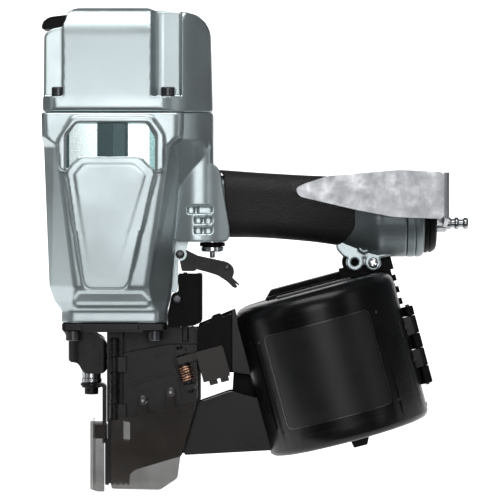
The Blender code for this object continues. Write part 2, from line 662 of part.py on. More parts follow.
def magazine_base():
    drum = half_can(1)
    boss = rod("Z", (0, 0), 9.6, CAN_FLOOR, CAN_FLOOR + CAN_WALL, 24)
    post = rod("Z", (0, 0), 5, CAN_FLOOR, 46, 16)
    base = join(drum, boss, post)
    strut = box(24, 64, 10.4, 15, 50, 66)
    rail = box(57, 64, 10.4, 18, 20, 65)
    foot = box(0, 14, 4, 40, -66, CAN_FLOOR + 2)
    base = join(base, strut, rail, foot)
    for level in (24, 33, 42, 51):
        base = cut(base, box(61.5, 66, 5, 20, level, level + 4))
    base = join(base, *knuckles(1, ((-33, -20), (-6, 5), (19, 26))))
    for side_x in (-20, 20):
        base = join(base, box(side_x - 2, side_x + 2, 54, 63, -50, 50))
    base = tilted(base)
    wall = cut(throat_wall(1), outside_drum())
    lap = box(53.5, 66, 9.3, 13, 30, 60)
    base = join(base, wall, lap)
    pin = tilted(rod("Z", (CAN_HINGE_X, 0), 1.8, -60, 60, 16))
    screw = rod("Y", (191.4, 167.9), 2.8, 5, 20, 8)
    return cut(base, pin, screw)


def nail_tray():
    tray = turned([(-50, 48), (-48, 50), (-46, 50)], "Z", (0, 0), 28)
    hub = rod("Z", (0, 0), 9, -48, 4, 16)
    return tilted(cut(join(tray, hub), rod("Z", (0, 0), 5.4, -60, 20, 16)))


def build_magazine(black, steel, zinc, plastic):
    cover_axis = in_tool((CAN_HINGE_X, 0, 0))
    piece("magazine_base", magazine_base(), black)
    piece("magazine_cover", magazine_cover(), plastic, cover_axis)
    pin = tilted(rod("Z", (CAN_HINGE_X, 0), 1.5, -34, 27.5, 8))
    piece("magazine_hinge_pin", pin, steel, cover_axis)
    piece("nail_tray", nail_tray(), plastic, in_tool((0, 0, -48)))
    screw = join(rod("Y", (191.4, 167.9), 4, -13.3, -10.3, 16), rod("Y", (191.4, 167.9), 2.3, -11, 15, 8))
    screw = cut(screw, rod("Y", (191.4, 167.9), 1.8, -14, -11.8, 6))
    piece("bracket_screw", screw, zinc)


# ---------------------------------------------------------------- feed door and feeder

def latch_axis_point(along):
    """Point on the latch pin, which lies across the nail strip at the door's free edge."""
    lean = math.radians(FEED_TILT)
    return (53 - along * math.sin(lean), -21, 86 + along * math.cos(lean))


def tilt_about_latch(solid):
    centre = Vector(latch_axis_point(0)) * MM
    turn = Matrix.Translation(centre) @ Matrix.Rotation(-math.radians(FEED_TILT), 4, "Y")
    solid.data.transform(turn)
    return solid


def feed_door():
    outline = rounded([(6.4, 50.4), (6.4, 101), (40, 107.5), (60.8, 107.5), (60.8, 66), (49.4, 25),
                       (21, 16.5), (15, 14.8), (11.2, 11), (11.2, 50.4)], 1.2, 2)
    plate = extrude(outline, "Y", -16, -FEED_HALF - GAP)
    band = extrude(rounded([(9, 62), (9, 76), (40, 84), (46, 84), (46, 68)], 2), "Y", -19, -15)
    door = join(plate, band)
    for x, z in ((21, 66.9), (41.5, 72.9)):
        door = join(door, rod("Y", (x, z), 5, -21, -15, 16))
        door = cut(door, rod("Y", (x, z), 1.8, -30, -8, 8))
    for low, high in ((88, 99), (52, 64)):
        barrel = rod("Z", (0, DOOR_PIN_Y), 3.3, low, high, 16)
        arm = box(0, 8.5, DOOR_PIN_Y - 2, -15.2, low, high)
        door = join(door, barrel, cut(arm, box(-1, 5.9, -23.5, -10, 0, 120)))
    door = cut(door, rod("Z", (0, DOOR_PIN_Y), 1.8, 40, 110, 16))
    pocket = tilt_about_latch(box(-6.5, 40, -9, 8, -7.5, 14.5))
    door = cut(door, pocket)
    lugs = [box(-4, 4, -3.8, 9, low, low + 4) for low in (-12, 15)]
    door = join(door, *[tilt_about_latch(lug) for lug in lugs])
    return cut(door, tilt_about_latch(rod("Z", (0, 0), 1.8, -30, 30, 8)))


def door_bracket():
    """Knuckles on the nose that the feed door hangs from."""
    blocks = []
    for low, high in ((99.3, 112), (64.3, 87.7)):
        barrel = rod("Z", (0, DOOR_PIN_Y), 3.3, low, high, 16)
        arm = box(-3.3, 3.3, DOOR_PIN_Y, -12.3, low, high)
        blocks.append(join(barrel, arm))
    blocks.append(box(-5.8, 3.3, -16, -12.3, 64.3, 112))
    body = join(*blocks)
    return cut(body, rod("Z", (0, DOOR_PIN_Y), 1.8, 40, 118, 16))


def door_latch():
    sleeve = rod("Z", (0, 0), 3.6, -7, 14, 16)
    tab = box(2, 13, -3.6, -0.6, 8.5, 13.5)
    finger = box(11, 31, -8, 0.5, -9, 14)
    finger = cut(finger, box(13, 29, -10, -2, -6.5, 11.5))
    latch = join(sleeve, tab, finger)
    return tilt_about_latch(cut(latch, rod("Z", (0, 0), 1.8, -20, 20, 8)))


def feeder_frame():
    """Axis of the feed piston: along the nail strip, on the far side of the nose."""
    place = Matrix.Translation(Vector((42, 25.5, 68)) * MM)
    return place @ Matrix.Rotation(-math.radians(FEED_TILT), 4, "Y")


def build_door(steel, black, zinc, copper):
    pin_axis = (0, DOOR_PIN_Y, 80)
    latch_axis = latch_axis_point(0)
    piece("feed_door", feed_door(), black, pin_axis)
    piece("door_bracket", door_bracket(), steel)
    piece("door_hinge_pin", rod("Z", (0, DOOR_PIN_Y), 1.5, 50, 113, 8), steel, pin_axis)
    for number, (x, z) in enumerate(((21, 66.9), (41.5, 72.9)), 1):
        screw = join(rod("Y", (x, z), 3.6, -24, -21.3, 16), rod("Y", (x, z), 1.5, -22, -9, 8))
        screw = cut(screw, rod("Y", (x, z), 1.5, -25, -22.6, 6))
        piece(f"door_screw_{number}", screw, zinc)
    piece("door_latch", door_latch(), black, latch_axis)
    pin = tilt_about_latch(rod("Z", (0, 0), 1.5, -14, 21, 8))
    piece("latch_pin", pin, steel, latch_axis)
    spring = coil((0, 0, -5), (0, 0, 1), 4.7, 0.7, 12, 4)
    piece("latch_spring", tilt_about_latch(spring), copper, latch_axis)
    barrel = turned([(-15, 10), (16, 10)], "X", (0, 0), 24)
    barrel = cut(barrel, rod("X", (0, 0), 7.3, -12, 14), rod("X", (0, 0), 2.8, -20, 0, 8),
                 rod("X", (0, 0), 1.5, 10, 20, 8))
    piston = join(rod("X", (0, 0), 7, 5, 10, 16), rod("X", (0, 0), 2.4, -24, 6, 8))
    pawl = join(box(-33, -24.3, -13, 3, -4, 4), box(-31, -28, -21.5, -12, -1.6, 1.6))
    for solid in (barrel, piston, pawl):
        solid.data.transform(feeder_frame())
    piece("feeder_cylinder", barrel, steel)
    piece("feed_piston", piston, zinc)
    piece("feed_pawl", pawl, steel)


# ---------------------------------------------------------------- whole tool

def clear_scene():
    for thing in list(bpy.data.objects):
        bpy.data.objects.remove(thing)


def main():
    clear_scene()
    frame = bpy.data.objects.new("tool_frame", None)
    bpy.context.scene.collection.objects.link(frame)
    frame.location = (-TOOL_CENTRE_X * MM, 0, 0)
    silver = finish("silver paint", (0.50, 0.55, 0.54), 0.38, 0.55)
    rubber = finish("grained rubber", (0.030, 0.028, 0.027), 0.75, 0.0)
    steel = finish("dark steel", (0.055, 0.055, 0.058), 0.42, 0.8)
    black = finish("black oxide", (0.020, 0.020, 0.022), 0.45, 0.3)
    plastic = finish("gloss black plastic", (0.012, 0.012, 0.013), 0.22, 0.0)
    zinc = finish("bright zinc", (0.62, 0.64, 0.66), 0.25, 1.0)
    copper = finish("coppered spring", (0.42, 0.20, 0.11), 0.35, 1.0)
    mottled = finish("cast aluminium", (0.56, 0.57, 0.58), 0.45, 0.9)
    smoke = finish("smoked plastic", (0.20, 0.18, 0.17), 0.20, 0.0)
    build_housing(silver, rubber, steel, black)
    build_drive(steel, rubber, black, silver)
    build_contact(steel, black, zinc, smoke)
    build_trigger(steel, black, zinc, copper)
    build_handle_end(silver, black, steel, mottled)
    build_magazine(black, steel, zinc, plastic)
    build_door(steel, black, zinc, copper)


main()
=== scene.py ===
import json
import math

import bmesh
import bpy
from mathutils import Matrix, Vector


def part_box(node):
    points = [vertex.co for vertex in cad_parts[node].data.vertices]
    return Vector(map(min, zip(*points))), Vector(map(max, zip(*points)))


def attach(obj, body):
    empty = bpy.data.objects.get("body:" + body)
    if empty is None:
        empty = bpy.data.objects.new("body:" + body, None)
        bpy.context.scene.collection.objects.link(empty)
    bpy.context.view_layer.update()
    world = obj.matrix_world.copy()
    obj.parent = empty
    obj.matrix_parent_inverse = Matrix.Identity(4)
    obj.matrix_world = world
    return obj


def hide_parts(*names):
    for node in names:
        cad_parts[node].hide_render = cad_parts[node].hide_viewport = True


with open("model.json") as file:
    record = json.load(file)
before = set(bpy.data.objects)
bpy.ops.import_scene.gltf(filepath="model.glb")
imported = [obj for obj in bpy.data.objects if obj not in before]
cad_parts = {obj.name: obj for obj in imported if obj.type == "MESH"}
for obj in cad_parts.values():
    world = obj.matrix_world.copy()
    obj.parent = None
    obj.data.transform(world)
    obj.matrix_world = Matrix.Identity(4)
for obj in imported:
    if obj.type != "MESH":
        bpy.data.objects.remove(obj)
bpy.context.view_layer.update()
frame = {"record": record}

# ---------------------------------------------------------------- places from the frame
# The shapes below are in millimetres from the drive axis and the floor of the frame.

MM = 0.001


def ends(node, axis):
    """Lowest and highest coordinate of a CAD node along an axis, in tool millimetres."""
    low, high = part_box(node)
    shift = AXIS_X if axis == 0 else 0.0
    return (low[axis] - shift) / MM, (high[axis] - shift) / MM


def middle(node, axis):
    low, high = ends(node, axis)
    return (low + high) / 2


blade_low, blade_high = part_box("driver_blade")
AXIS_X = (blade_low[0] + blade_high[0]) / 2
JOINTS = {joint["name"]: joint for joint in frame["record"]["behaviour"]["joints"]}
CAP_SEAM = ends("cylinder_cap", 2)[0]
CAP_TOP = ends("cylinder_cap", 2)[1]
NOSE_TOP = ends("body_casting", 2)[0]
PLUG_Z = middle("air_plug", 2)
END_Z = middle("end_cap", 2)
END_RADIUS = (ends("end_cap", 2)[1] - ends("end_cap", 2)[0]) / 2
HOOK_FACE = ends("rafter_hook", 1)[0] + 3
DOOR_PIN_Y = middle("door_hinge_pin", 1)
PLUNGER_X = middle("valve_plunger", 0)
BOLT_SPREAD = 40.0
NOSE_BOLT_SPREAD = 30.0
CAP_BOLT_SEAT = 290.3
NOSE_BOLT_SEAT = 118.4
ARM_AXIS = (-18, 0)
DEFLECTOR_AXIS = (-8, 0)
BRACKET_PIN = (177.7, 168.2)
BRACKET_SCREW = (191.4, 167.9)
GUARD_SCREW = (46, 141)
cover_axis = Vector(JOINTS["cover_swing"]["axis"])
LEAN = math.atan2(-cover_axis.x, cover_axis.z)
hinge = Vector(JOINTS["cover_swing"]["pos_m"])
ALONG = Vector((math.cos(LEAN), 0, math.sin(LEAN)))
CAN_HINGE_X = 66.0
CAN = hinge / MM - Vector((AXIS_X / MM, 0, 0)) - ALONG * CAN_HINGE_X
CAN_RADIUS = 61.0
latch_place = Vector(JOINTS["latch_tilt"]["pos_m"]) / MM - Vector((AXIS_X / MM, 0, 0))


# ---------------------------------------------------------------- solids

def new_object(bm, name="solid"):
    bmesh.ops.recalc_face_normals(bm, faces=bm.faces)
    mesh = bpy.data.meshes.new(name)
    bm.to_mesh(mesh)
    bm.free()
    solid = bpy.data.objects.new(name, mesh)
    bpy.context.scene.collection.objects.link(solid)
    return solid


def skin(rings):
    """Close a row of equal rings of tool-frame points into one body."""
    bm = bmesh.new()
    shift = Vector((AXIS_X, 0, 0))
    rows = [[bm.verts.new(Vector(p) * MM + shift) for p in ring] for ring in rings]
    count = len(rings[0])
    for low, high in zip(rows, rows[1:]):
        for i in range(count):
            j = (i + 1) % count
            bm.faces.new((low[i], low[j], high[j], high[i]))
    bm.faces.new(rows[0])
    bm.faces.new(rows[-1])
    return new_object(bm)


def place(axis, a, b, depth):
    """Point from an outline's two coordinates and its depth along the axis."""
    return {"X": (depth, a, b), "Y": (a, depth, b), "Z": (a, b, depth)}[axis]


def extrude(outline, axis, low, high):
    return skin([[place(axis, a, b, depth) for a, b in outline] for depth in (low, high)])


def plate(outline, radius, low, high, axis="Y"):
    """Slab of an outline whose corners are rounded."""
    return extrude(rounded(outline, radius), axis, low, high)


def block(x0, x1, y0, y1, z0, z1):
    return extrude([(x0, y0), (x1, y0), (x1, y1), (x0, y1)], "Z", z0, z1)


def circle(cx, cy, radius, segments=48):
    turns = [2 * math.pi * (i + 0.5) / segments for i in range(segments)]
    return [(cx + radius * math.cos(t), cy + radius * math.sin(t)) for t in turns]


def span(side, near, far):
    """Depths on one side of the middle plane, lowest first; side is -1 near, +1 far."""
    return sorted((side * near, side * far))


def rod(axis, centre, radius, low, high, segments=48):
    return extrude(circle(centre[0], centre[1], radius, segments), axis, low, high)


def turned(profile, axis, centre, segments=64):
    """Skin of (distance along the axis, radius) steps."""
    rings = []
    for depth, radius in profile:
        ring = circle(centre[0], centre[1], radius, segments)
        rings.append([place(axis, a, b, depth) for a, b in ring])
    return skin(rings)


def rounded(points, radius):
    """Outline with every corner replaced by a short curve of about the radius."""
    steps = 6
    outline = []
    count = len(points)
    for i, corner in enumerate(points):
        corner = Vector(corner)
        before = Vector(points[i - 1]) - corner
        after = Vector(points[(i + 1) % count]) - corner
        reach = min(radius, before.length / 2.1, after.length / 2.1)
        start = corner + before.normalized() * reach
        end = corner + after.normalized() * reach
        for k in range(steps + 1):
            t = k / steps
            outline.append(tuple(start.lerp(corner, t).lerp(corner.lerp(end, t), t)))
    return outline


def round_rect(a0, a1, b0, b1, corner, steps=8):
    corner = min(corner, (a1 - a0) / 2 - 0.01, (b1 - b0) / 2 - 0.01)
    centres = [(a1 - corner, b1 - corner), (a0 + corner, b1 - corner), (a0 + corner, b0 + corner),
               (a1 - corner, b0 + corner)]
    outline = []
    for quarter, (a, b) in enumerate(centres):
        for k in range(steps + 1):
            t = math.pi / 2 * (quarter + k / steps)
            outline.append((a + corner * math.cos(t), b + corner * math.sin(t)))
    return outline


def fold(a, b, outer, inner, turn=1):
    """Section of a sheet folded square about (a, b); turn is -1 where b falls along the fold."""
    angles = [math.radians(degrees) for degrees in range(0, 91, 9)]
    arcs = [[(a + radius * math.sin(t), b + turn * radius * math.cos(t)) for t in angles]
            for radius in (outer, inner)]
    return arcs[0] + arcs[1][::-1]


def loft_along(stations):
    """Skin rounded rectangles at (x, centre z, half height, half depth, corner)."""
    rings = []
    for x, centre, height, half, corner in stations:
        section = round_rect(-half, half, centre - height, centre + height, corner, 10)
        rings.append([(x, y, z) for y, z in section])
    return skin(rings)


def blended(stations, count):
    """Stations on a smooth curve through the given ones, so that a loft has no kinks."""
    result = []
    for i in range(len(stations) - 1):
        before = stations[max(i - 1, 0)]
        after = stations[min(i + 2, len(stations) - 1)]
        for k in range(count):
            t = k / count
            row = []
            for a, b, c, d in zip(before, stations[i], stations[i + 1], after):
                row.append(0.5 * (2 * b + (c - a) * t + (2 * a - 5 * b + 4 * c - d) * t * t
                                  + (3 * b - a - 3 * c + d) * t ** 3))
            result.append(tuple(row))
    result.append(stations[-1])
    return result


def wire_coil(start, radius, wire, length, turns):
    """Spring of round wire that rises along Z from its start."""
    up = Vector((0, 0, 1))
    side = up.orthogonal().normalized()
    other = up.cross(side)
    total = int(turns * 24)
    points = []
    for i in range(total + 1):
        turn = 2 * math.pi * i / 24
        share = i / total
        outward = side * math.cos(turn) + other * math.sin(turn)
        points.append(Vector(start) + up * (length * share) + outward * radius)
    rings = []
    side = None
    for i, centre in enumerate(points):
        ahead = points[min(i + 1, total)] - points[max(i - 1, 0)]
        ahead.normalize()
        if side is None:
            side = ahead.orthogonal().normalized()
        side = (side - ahead * side.dot(ahead)).normalized()
        other = ahead.cross(side)
        angles = [2 * math.pi * k / 10 for k in range(10)]
        rings.append([centre + (side * math.cos(t) + other * math.sin(t)) * wire for t in angles])
    return skin(rings)


# ---------------------------------------------------------------- operations

def evaluated(target):
    """Bake an object's modifiers into its mesh."""
    depsgraph = bpy.context.evaluated_depsgraph_get()
    mesh = bpy.data.meshes.new_from_object(target.evaluated_get(depsgraph))
    target.modifiers.clear()
    target.data = mesh
    return target


def twin_of(target):
    """A separate object with a copy of the target's mesh."""
    twin = target.copy()
    twin.data = target.data.copy()
    bpy.context.scene.collection.objects.link(twin)
    return twin


def combine(target, tool, operation):
    modifier = target.modifiers.new("combine", "BOOLEAN")
    modifier.operation = operation
    modifier.solver = "EXACT"
    modifier.object = tool
    evaluated(target)
    bpy.data.objects.remove(tool)
    return target


def join(target, *tools):
    for tool in tools:
        combine(target, tool, "UNION")
    return target


def cut(target, *tools):
    for tool in tools:
        combine(target, tool, "DIFFERENCE")
    return target


def keep(target, tool):
    return combine(target, tool, "INTERSECT")


def cast(solid, voxel=0.9, passes=6):
    """Give a solid the soft edges of a casting: an even skin, then smoothing."""
    remesh = solid.modifiers.new("skin", "REMESH")
    remesh.mode = "VOXEL"
    remesh.voxel_size = voxel * MM
    smooth = solid.modifiers.new("soften", "SMOOTH")
    smooth.factor = 0.5
    smooth.iterations = passes
    evaluated(solid)
    solid.data.shade_smooth()
    return solid


def eased(solid, width=0.5, segments=3, angle=28):
    """Break the sharp edges of a machined or moulded piece."""
    bevel = solid.modifiers.new("edges", "BEVEL")
    bevel.width = width * MM
    bevel.segments = segments
    bevel.limit_method = "ANGLE"
    bevel.angle_limit = math.radians(angle)
    bevel.harden_normals = True
    solid.data.shade_smooth()
    solid.data.set_sharp_from_angle(angle=math.radians(40))
    return solid


def placed(solid, spot, angle, axis="Y"):
    """Turn a solid drawn at the origin and move it to a tool-frame point."""
    centre = Matrix.Translation(Vector(spot) * MM + Vector((AXIS_X, 0, 0)))
    solid.data.transform(centre @ Matrix.Rotation(angle, 4, axis)
                         @ Matrix.Translation(Vector((-AXIS_X, 0, 0))))
    return solid


def tilted(solid):
    """Magazine frame: local Z along the drum's axis, local X along the nail strip."""
    return placed(solid, CAN, -LEAN)


def at_latch(solid):
    return placed(solid, latch_place, -LEAN)


def corners(spread):
    return [(x, y) for x in (-spread, spread) for y in (-spread, spread)]


def dress(solid, name, body, material, slot, *nodes):
    """Name a finished piece, give it its surface and let it ride on its body."""
    solid.name = name
    solid.data.name = name
    solid.data.materials.clear()
    solid.data.materials.append(material)
    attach(solid, body)
    if nodes:
        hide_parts(*nodes)
    return solid


# ---------------------------------------------------------------- surfaces

def surface(name, colour, roughness, metallic=0.0, coat=0.0, ior=1.5, sheen=0.5):
    material = bpy.data.materials.new(name)
    material.use_nodes = True
    shader = material.node_tree.nodes["Principled BSDF"]
    shader.inputs["Base Color"].default_value = (*colour, 1)
    shader.inputs["Roughness"].default_value = roughness
    shader.inputs["Metallic"].default_value = metallic
    shader.inputs["Coat Weight"].default_value = coat
    shader.inputs["Coat Roughness"].default_value = 0.12
    shader.inputs["IOR"].default_value = ior
    shader.inputs["Specular IOR Level"].default_value = sheen
    return material, shader


def texture(material, kind, scale, **settings):
    """A procedural texture on the object's own coordinates; scale is in features per metre."""
    nodes, links = material.node_tree.nodes, material.node_tree.links
    spot = nodes.new("ShaderNodeTexCoord")
    node = nodes.new(kind)
    node.inputs["Scale"].default_value = scale
    for key, value in settings.items():
        node.inputs[key].default_value = value
    links.new(spot.outputs["Object"], node.inputs["Vector"])
    return node


def ramp(material, source, *stops):
    """Map a texture's value through (position, grey or colour) stops."""
    node = material.node_tree.nodes.new("ShaderNodeValToRGB")
    elements = node.color_ramp.elements
    while len(elements) < len(stops):
        elements.new(0.5)
    for element, (position, value) in zip(elements, stops):
        element.position = position
        grey = isinstance(value, (int, float))
        element.color = (value, value, value, 1) if grey else (*value, 1)
    material.node_tree.links.new(source, node.inputs["Fac"])
    return node.outputs["Color"]


def drive(material, shader, socket, source, *stops):
    """Feed one of the shader's sockets from a texture's value."""
    material.node_tree.links.new(ramp(material, source, *stops), shader.inputs[socket])


def bump(material, shader, source, strength, distance):
    node = material.node_tree.nodes.new("ShaderNodeBump")
    node.inputs["Strength"].default_value = strength
    node.inputs["Distance"].default_value = distance * MM
    links = material.node_tree.links
    links.new(source, node.inputs["Height"])
    links.new(node.outputs["Normal"], shader.inputs["Normal"])


GRAINS = {"noise": ("ShaderNodeTexNoise", "Fac"), "cells": ("ShaderNodeTexVoronoi", "Distance"),
          "lines": ("ShaderNodeTexWave", "Fac")}


def worn(name, cloud_scale, roughness, dark, light, metallic=0.0, coat=0.0, sheen=0.5, grain=None,
         **settings):
    """Surface with cloudy wear between two tones; grain is (kind, scale, strength, depth in mm)."""
    material, shader = surface(name, light, roughness[0], metallic, coat, sheen=sheen)
    cloud = texture(material, "ShaderNodeTexNoise", cloud_scale, Detail=6.0, Roughness=0.6).outputs["Fac"]
    drive(material, shader, "Roughness", cloud, (0.3, roughness[0]), (0.7, roughness[1]))
    drive(material, shader, "Base Color", cloud, (0.25, dark), (0.75, light))
    if grain:
        kind, scale, strength, depth = grain
        node, output = GRAINS[kind]
        bump(material, shader, texture(material, node, scale, **settings).outputs[output], strength, depth)
    return material


def mottled_aluminium():
    material, shader = surface("mottled aluminium", (0.52, 0.53, 0.54), 0.40, 0.9)
    cloud = texture(material, "ShaderNodeTexNoise", 75.0, Detail=9.0, Roughness=0.72).outputs["Fac"]
    tones = (0.30, (0.36, 0.37, 0.39)), (0.52, (0.45, 0.46, 0.48)), (0.72, (0.58, 0.59, 0.61))
    drive(material, shader, "Base Color", cloud, *tones)
    drive(material, shader, "Roughness", cloud, (0.3, 0.50), (0.7, 0.32))
    bump(material, shader, cloud, 0.10, 0.25)
    return material


def smoked_clear():
    material, shader = surface("smoked clear", (0.030, 0.026, 0.023), 0.10, 0.0, 0.0, 1.45)
    cloud = texture(material, "ShaderNodeTexNoise", 45.0, Detail=4.0).outputs["Fac"]
    drive(material, shader, "Roughness", cloud, (0.3, 0.06), (0.7, 0.16))
    drive(material, shader, "Alpha", cloud, (0.3, 0.60), (0.7, 0.68))
    return material


def window_gloss(name, colour, roughness=0.30, metallic=0.2, sheen=0.2):
    material, shader = surface(name, colour, roughness, metallic, sheen=sheen)
    cloud = texture(material, "ShaderNodeTexNoise", 30.0, Detail=3.0).outputs["Fac"]
    darker = tuple(channel * 0.85 for channel in colour)
    drive(material, shader, "Base Color", cloud, (0.3, darker), (0.7, colour))
    fine = texture(material, "ShaderNodeTexNoise", 900.0, Detail=2.0).outputs["Fac"]
    drive(material, shader, "Roughness", fine, (0.3, roughness * 0.85), (0.7, roughness * 1.15))
    return material


SILVER = worn("silver paint", 25.0, (0.30, 0.40), (0.44, 0.505, 0.52), (0.49, 0.56, 0.575), 0.85, 0.15,
              grain=("noise", 2600.0, 0.10, 0.12), Detail=2.0)
# Darker copy of the silver paint for the handle end and end cap: painted shade on those curved faces, which
# carry the same silver paint as the rest of the housing.
SHADED_SILVER = worn("shaded silver paint", 30.0, (0.42, 0.54), (0.19, 0.222, 0.228), (0.235, 0.272, 0.278), 0.8, 0.1,
            grain=("noise", 2600.0, 0.12, 0.14), Detail=2.0)
RUBBER = worn("grained rubber", 90.0, (0.50, 0.72), (0.006, 0.0055, 0.005), (0.014, 0.0125, 0.012),
              sheen=0.44, grain=("cells", 900.0, 0.75, 0.55))
STEEL = worn("oiled steel", 120.0, (0.28, 0.46), (0.012, 0.012, 0.0125), (0.036, 0.034, 0.033), 0.85,
             grain=("noise", 1400.0, 0.12, 0.10), Detail=3.0)
BOLT = worn("bolt steel", 300.0, (0.26, 0.42), (0.055, 0.056, 0.060), (0.12, 0.122, 0.128), 0.9)
BLACK = worn("black metal", 70.0, (0.34, 0.50), (0.006, 0.006, 0.007), (0.014, 0.013, 0.014), 0.30, 0.05, 0.4,
             grain=("noise", 1800.0, 0.14, 0.10), Detail=2.0)
BROWNED = worn("browned steel", 110.0, (0.36, 0.50), (0.026, 0.0235, 0.0225), (0.048, 0.044, 0.042), 0.7,
               grain=("noise", 1500.0, 0.16, 0.10), Detail=3.0)
ALLOY = worn("ground alloy", 90.0, (0.24, 0.42), (0.42, 0.43, 0.44), (0.58, 0.59, 0.60), 1.0,
             grain=("lines", 900.0, 0.05, 0.08), Distortion=1.5, Detail=2.0)
SEAL = worn("seal rubber", 150.0, (0.5, 0.7), (0.014, 0.014, 0.014), (0.028, 0.027, 0.026))
PLASTIC = worn("black plastic", 80.0, (0.38, 0.52), (0.0025, 0.0025, 0.0028), (0.006, 0.006, 0.0065),
               sheen=0.09, grain=("noise", 2200.0, 0.20, 0.12), Detail=2.0)
GLOSS = worn("gloss black", 40.0, (0.25, 0.36), (0.002, 0.002, 0.0022), (0.0045, 0.0045, 0.005), 0.0, 0.02,
             0.26, grain=("noise", 1500.0, 0.04, 0.10), Detail=2.0)
LABEL = worn("satin panel", 50.0, (0.36, 0.44), (0.004, 0.004, 0.0045), (0.008, 0.008, 0.009), sheen=0.4,
             grain=("noise", 3000.0, 0.18, 0.08), Detail=1.0)
ZINC = worn("bright zinc", 220.0, (0.20, 0.34), (0.26, 0.27, 0.28), (0.42, 0.43, 0.44), 1.0)
CHROME = worn("bright chrome", 220.0, (0.16, 0.30), (0.60, 0.62, 0.64), (0.82, 0.84, 0.86), 1.0)
COPPER = worn("coppered wire", 400.0, (0.22, 0.40), (0.24, 0.13, 0.09), (0.60, 0.36, 0.25), 1.0)
MOTTLED = mottled_aluminium()
SMOKE = smoked_clear()
# Window tints: the teal tint is the plate's own, but the pale and dark tints are set out in bands that paint
# the curved chrome plate's reflection.
AQUA = window_gloss("aqua window", (0.52, 0.60, 0.595), 0.30, 1.0, 0.5)
DEEP = window_gloss("deep window", (0.030, 0.060, 0.066))
TEAL = window_gloss("teal window", (0.050, 0.090, 0.096))
SEA = window_gloss("sea window", (0.22, 0.36, 0.36), 0.3, 0.8, 0.4)


# ---------------------------------------------------------------- housing

def barrel_plan(z, left, right, shield_left, shield_right, facet_y, face_y):
    """Plan of the barrel at one level: a broad front face with a facet to each side, both sides alike."""
    near = [(-left, -facet_y), (-shield_left, -face_y), (shield_right, -face_y), (right, -facet_y)]
    outline = rounded(near + [(x, -y) for x, y in reversed(near)], 3)
    return [(x, y, z) for x, y in outline]


def barrel_core():
    levels = [(NOSE_TOP, 38.5, 38.5, 32, 32, 31.5, 38), (NOSE_TOP + 9, 38.5, 38.5, 32, 32, 31.5, 38),
              (140, 44, 40.5, 29, 26.5, 27, 43.2), (151, 47.8, 42.4, 28, 24.5, 27, 48.6),
              (254, 51.2, 50.8, 41.5, 40.5, 36, 52.2), (260, 51.7, 51.4, 49, 46, 48.6, 51.9),
              (CAP_SEAM - 0.1, 52, 52, 49.4, 46, 48.8, 52)]
    return skin([barrel_plan(*level) for level in levels])


def barrel():
    """Barrel with the window recess, the shield and the facets of the near and far sides."""
    solid = barrel_core()
    for side in (-1, 1):
        fields = barrel_fields()
        if side > 0:
            for field in fields:
                field.data.transform(Matrix.Scale(-1, 4, (0, 1, 0)))
                field.data.flip_normals()
        surround, recess, shield, panel, hollow = fields
        solid = join(cut(join(solid, surround), recess), shield, panel)
        lip = twin_of(solid)
        lip.data.transform(Matrix.Translation(Vector((0, -side * 1.1, 0)) * MM))
        solid = cut(solid, cut(hollow, lip))
    for x, y in corners(NOSE_BOLT_SPREAD):
        solid = cut(solid, rod("Z", (x, y), 3.4, NOSE_TOP - 1, NOSE_TOP + 6, 24))
    return cast(cut(solid, rod("Z", (0, 0), 14, NOSE_TOP - 2, 130)), 0.98, 2)


def barrel_fields():
    """Near-side fields: window surround, its recess, outer shield, inner panel and the foot's hollow."""
    surround = plate([(-39.6, 258), (-29, 274.8), (28.7, 274.8), (37.5, 262), (37, 236), (-38.5, 236)], 3,
                     -54, -46)
    mouth = [(-36.5, 262.3), (-27.3, 273), (27.2, 273), (34, 263), (33.8, 232), (19.5, 246.8), (-24, 246.8),
             (-36.5, 232)]
    floor_line = [(-34, 261.6), (-25.6, 270.2), (25.4, 270.2), (31.4, 261.7), (31.2, 234.6), (19.7, 245.4),
                  (-24.2, 245.4), (-34, 234.6)]
    recess = skin([[(x, -56, z) for x, z in rounded(mouth, 2)],
                   [(x, -52.4, z) for x, z in rounded(floor_line, 2)]])
    shield = tapered([(-34, 233.6), (-23.7, 245.2), (19.2, 245.2), (31.2, 233.6), (11.5, 154), (8, 149.6),
                      (-18.5, 149.6), (-21.6, 154)], -54.2, -53, 2.5)
    panel = tapered([(-27.4, 233), (-21, 240.6), (15.5, 240.6), (23.6, 233), (3, 163), (-1, 159.6),
                     (-13.4, 159.6), (-17, 163)], -54.55, -53.3, 2)
    hollow = plate([(-29.8, 140.4), (-25.4, 147.4), (21.6, 147.4), (28.2, 140.4), (21, 131), (-23.8, 131)],
                   1.6, -60, -40)
    return surround, recess, shield, panel, hollow


def tapered(outline, top_face, foot_face, radius):
    """Raised field whose face leans in towards the nose, following the barrel's draft."""
    points = rounded(outline, radius)
    high = max(z for x, z in points)
    low = min(z for x, z in points)
    faces = [top_face + (foot_face - top_face) * (high - z) / (high - low) * 1.9 for x, z in points]
    near = [(x, y, z) for (x, z), y in zip(points, faces)]
    far = [(x, -40, z) for x, z in points]
    return skin([near, far])


def chamber_plan(wide, z, climb=0.0):
    """Plan of the air chamber at one level: wide is 1 under the cap, 0 below; climb lifts its right end."""
    near = [(0, 27), (40, 28 + 22 * wide), (54, 31.5 + 12 * wide), (64, 33.4 + 3.6 * wide),
            (73, 31 - 5 * wide)]
    outline = rounded([(x, -y) for x, y in near] + [(x, y) for x, y in reversed(near)], 5)
    return [(x, y, z + climb * min(max((x - 46) / 26, 0), 1)) for x, y in outline]


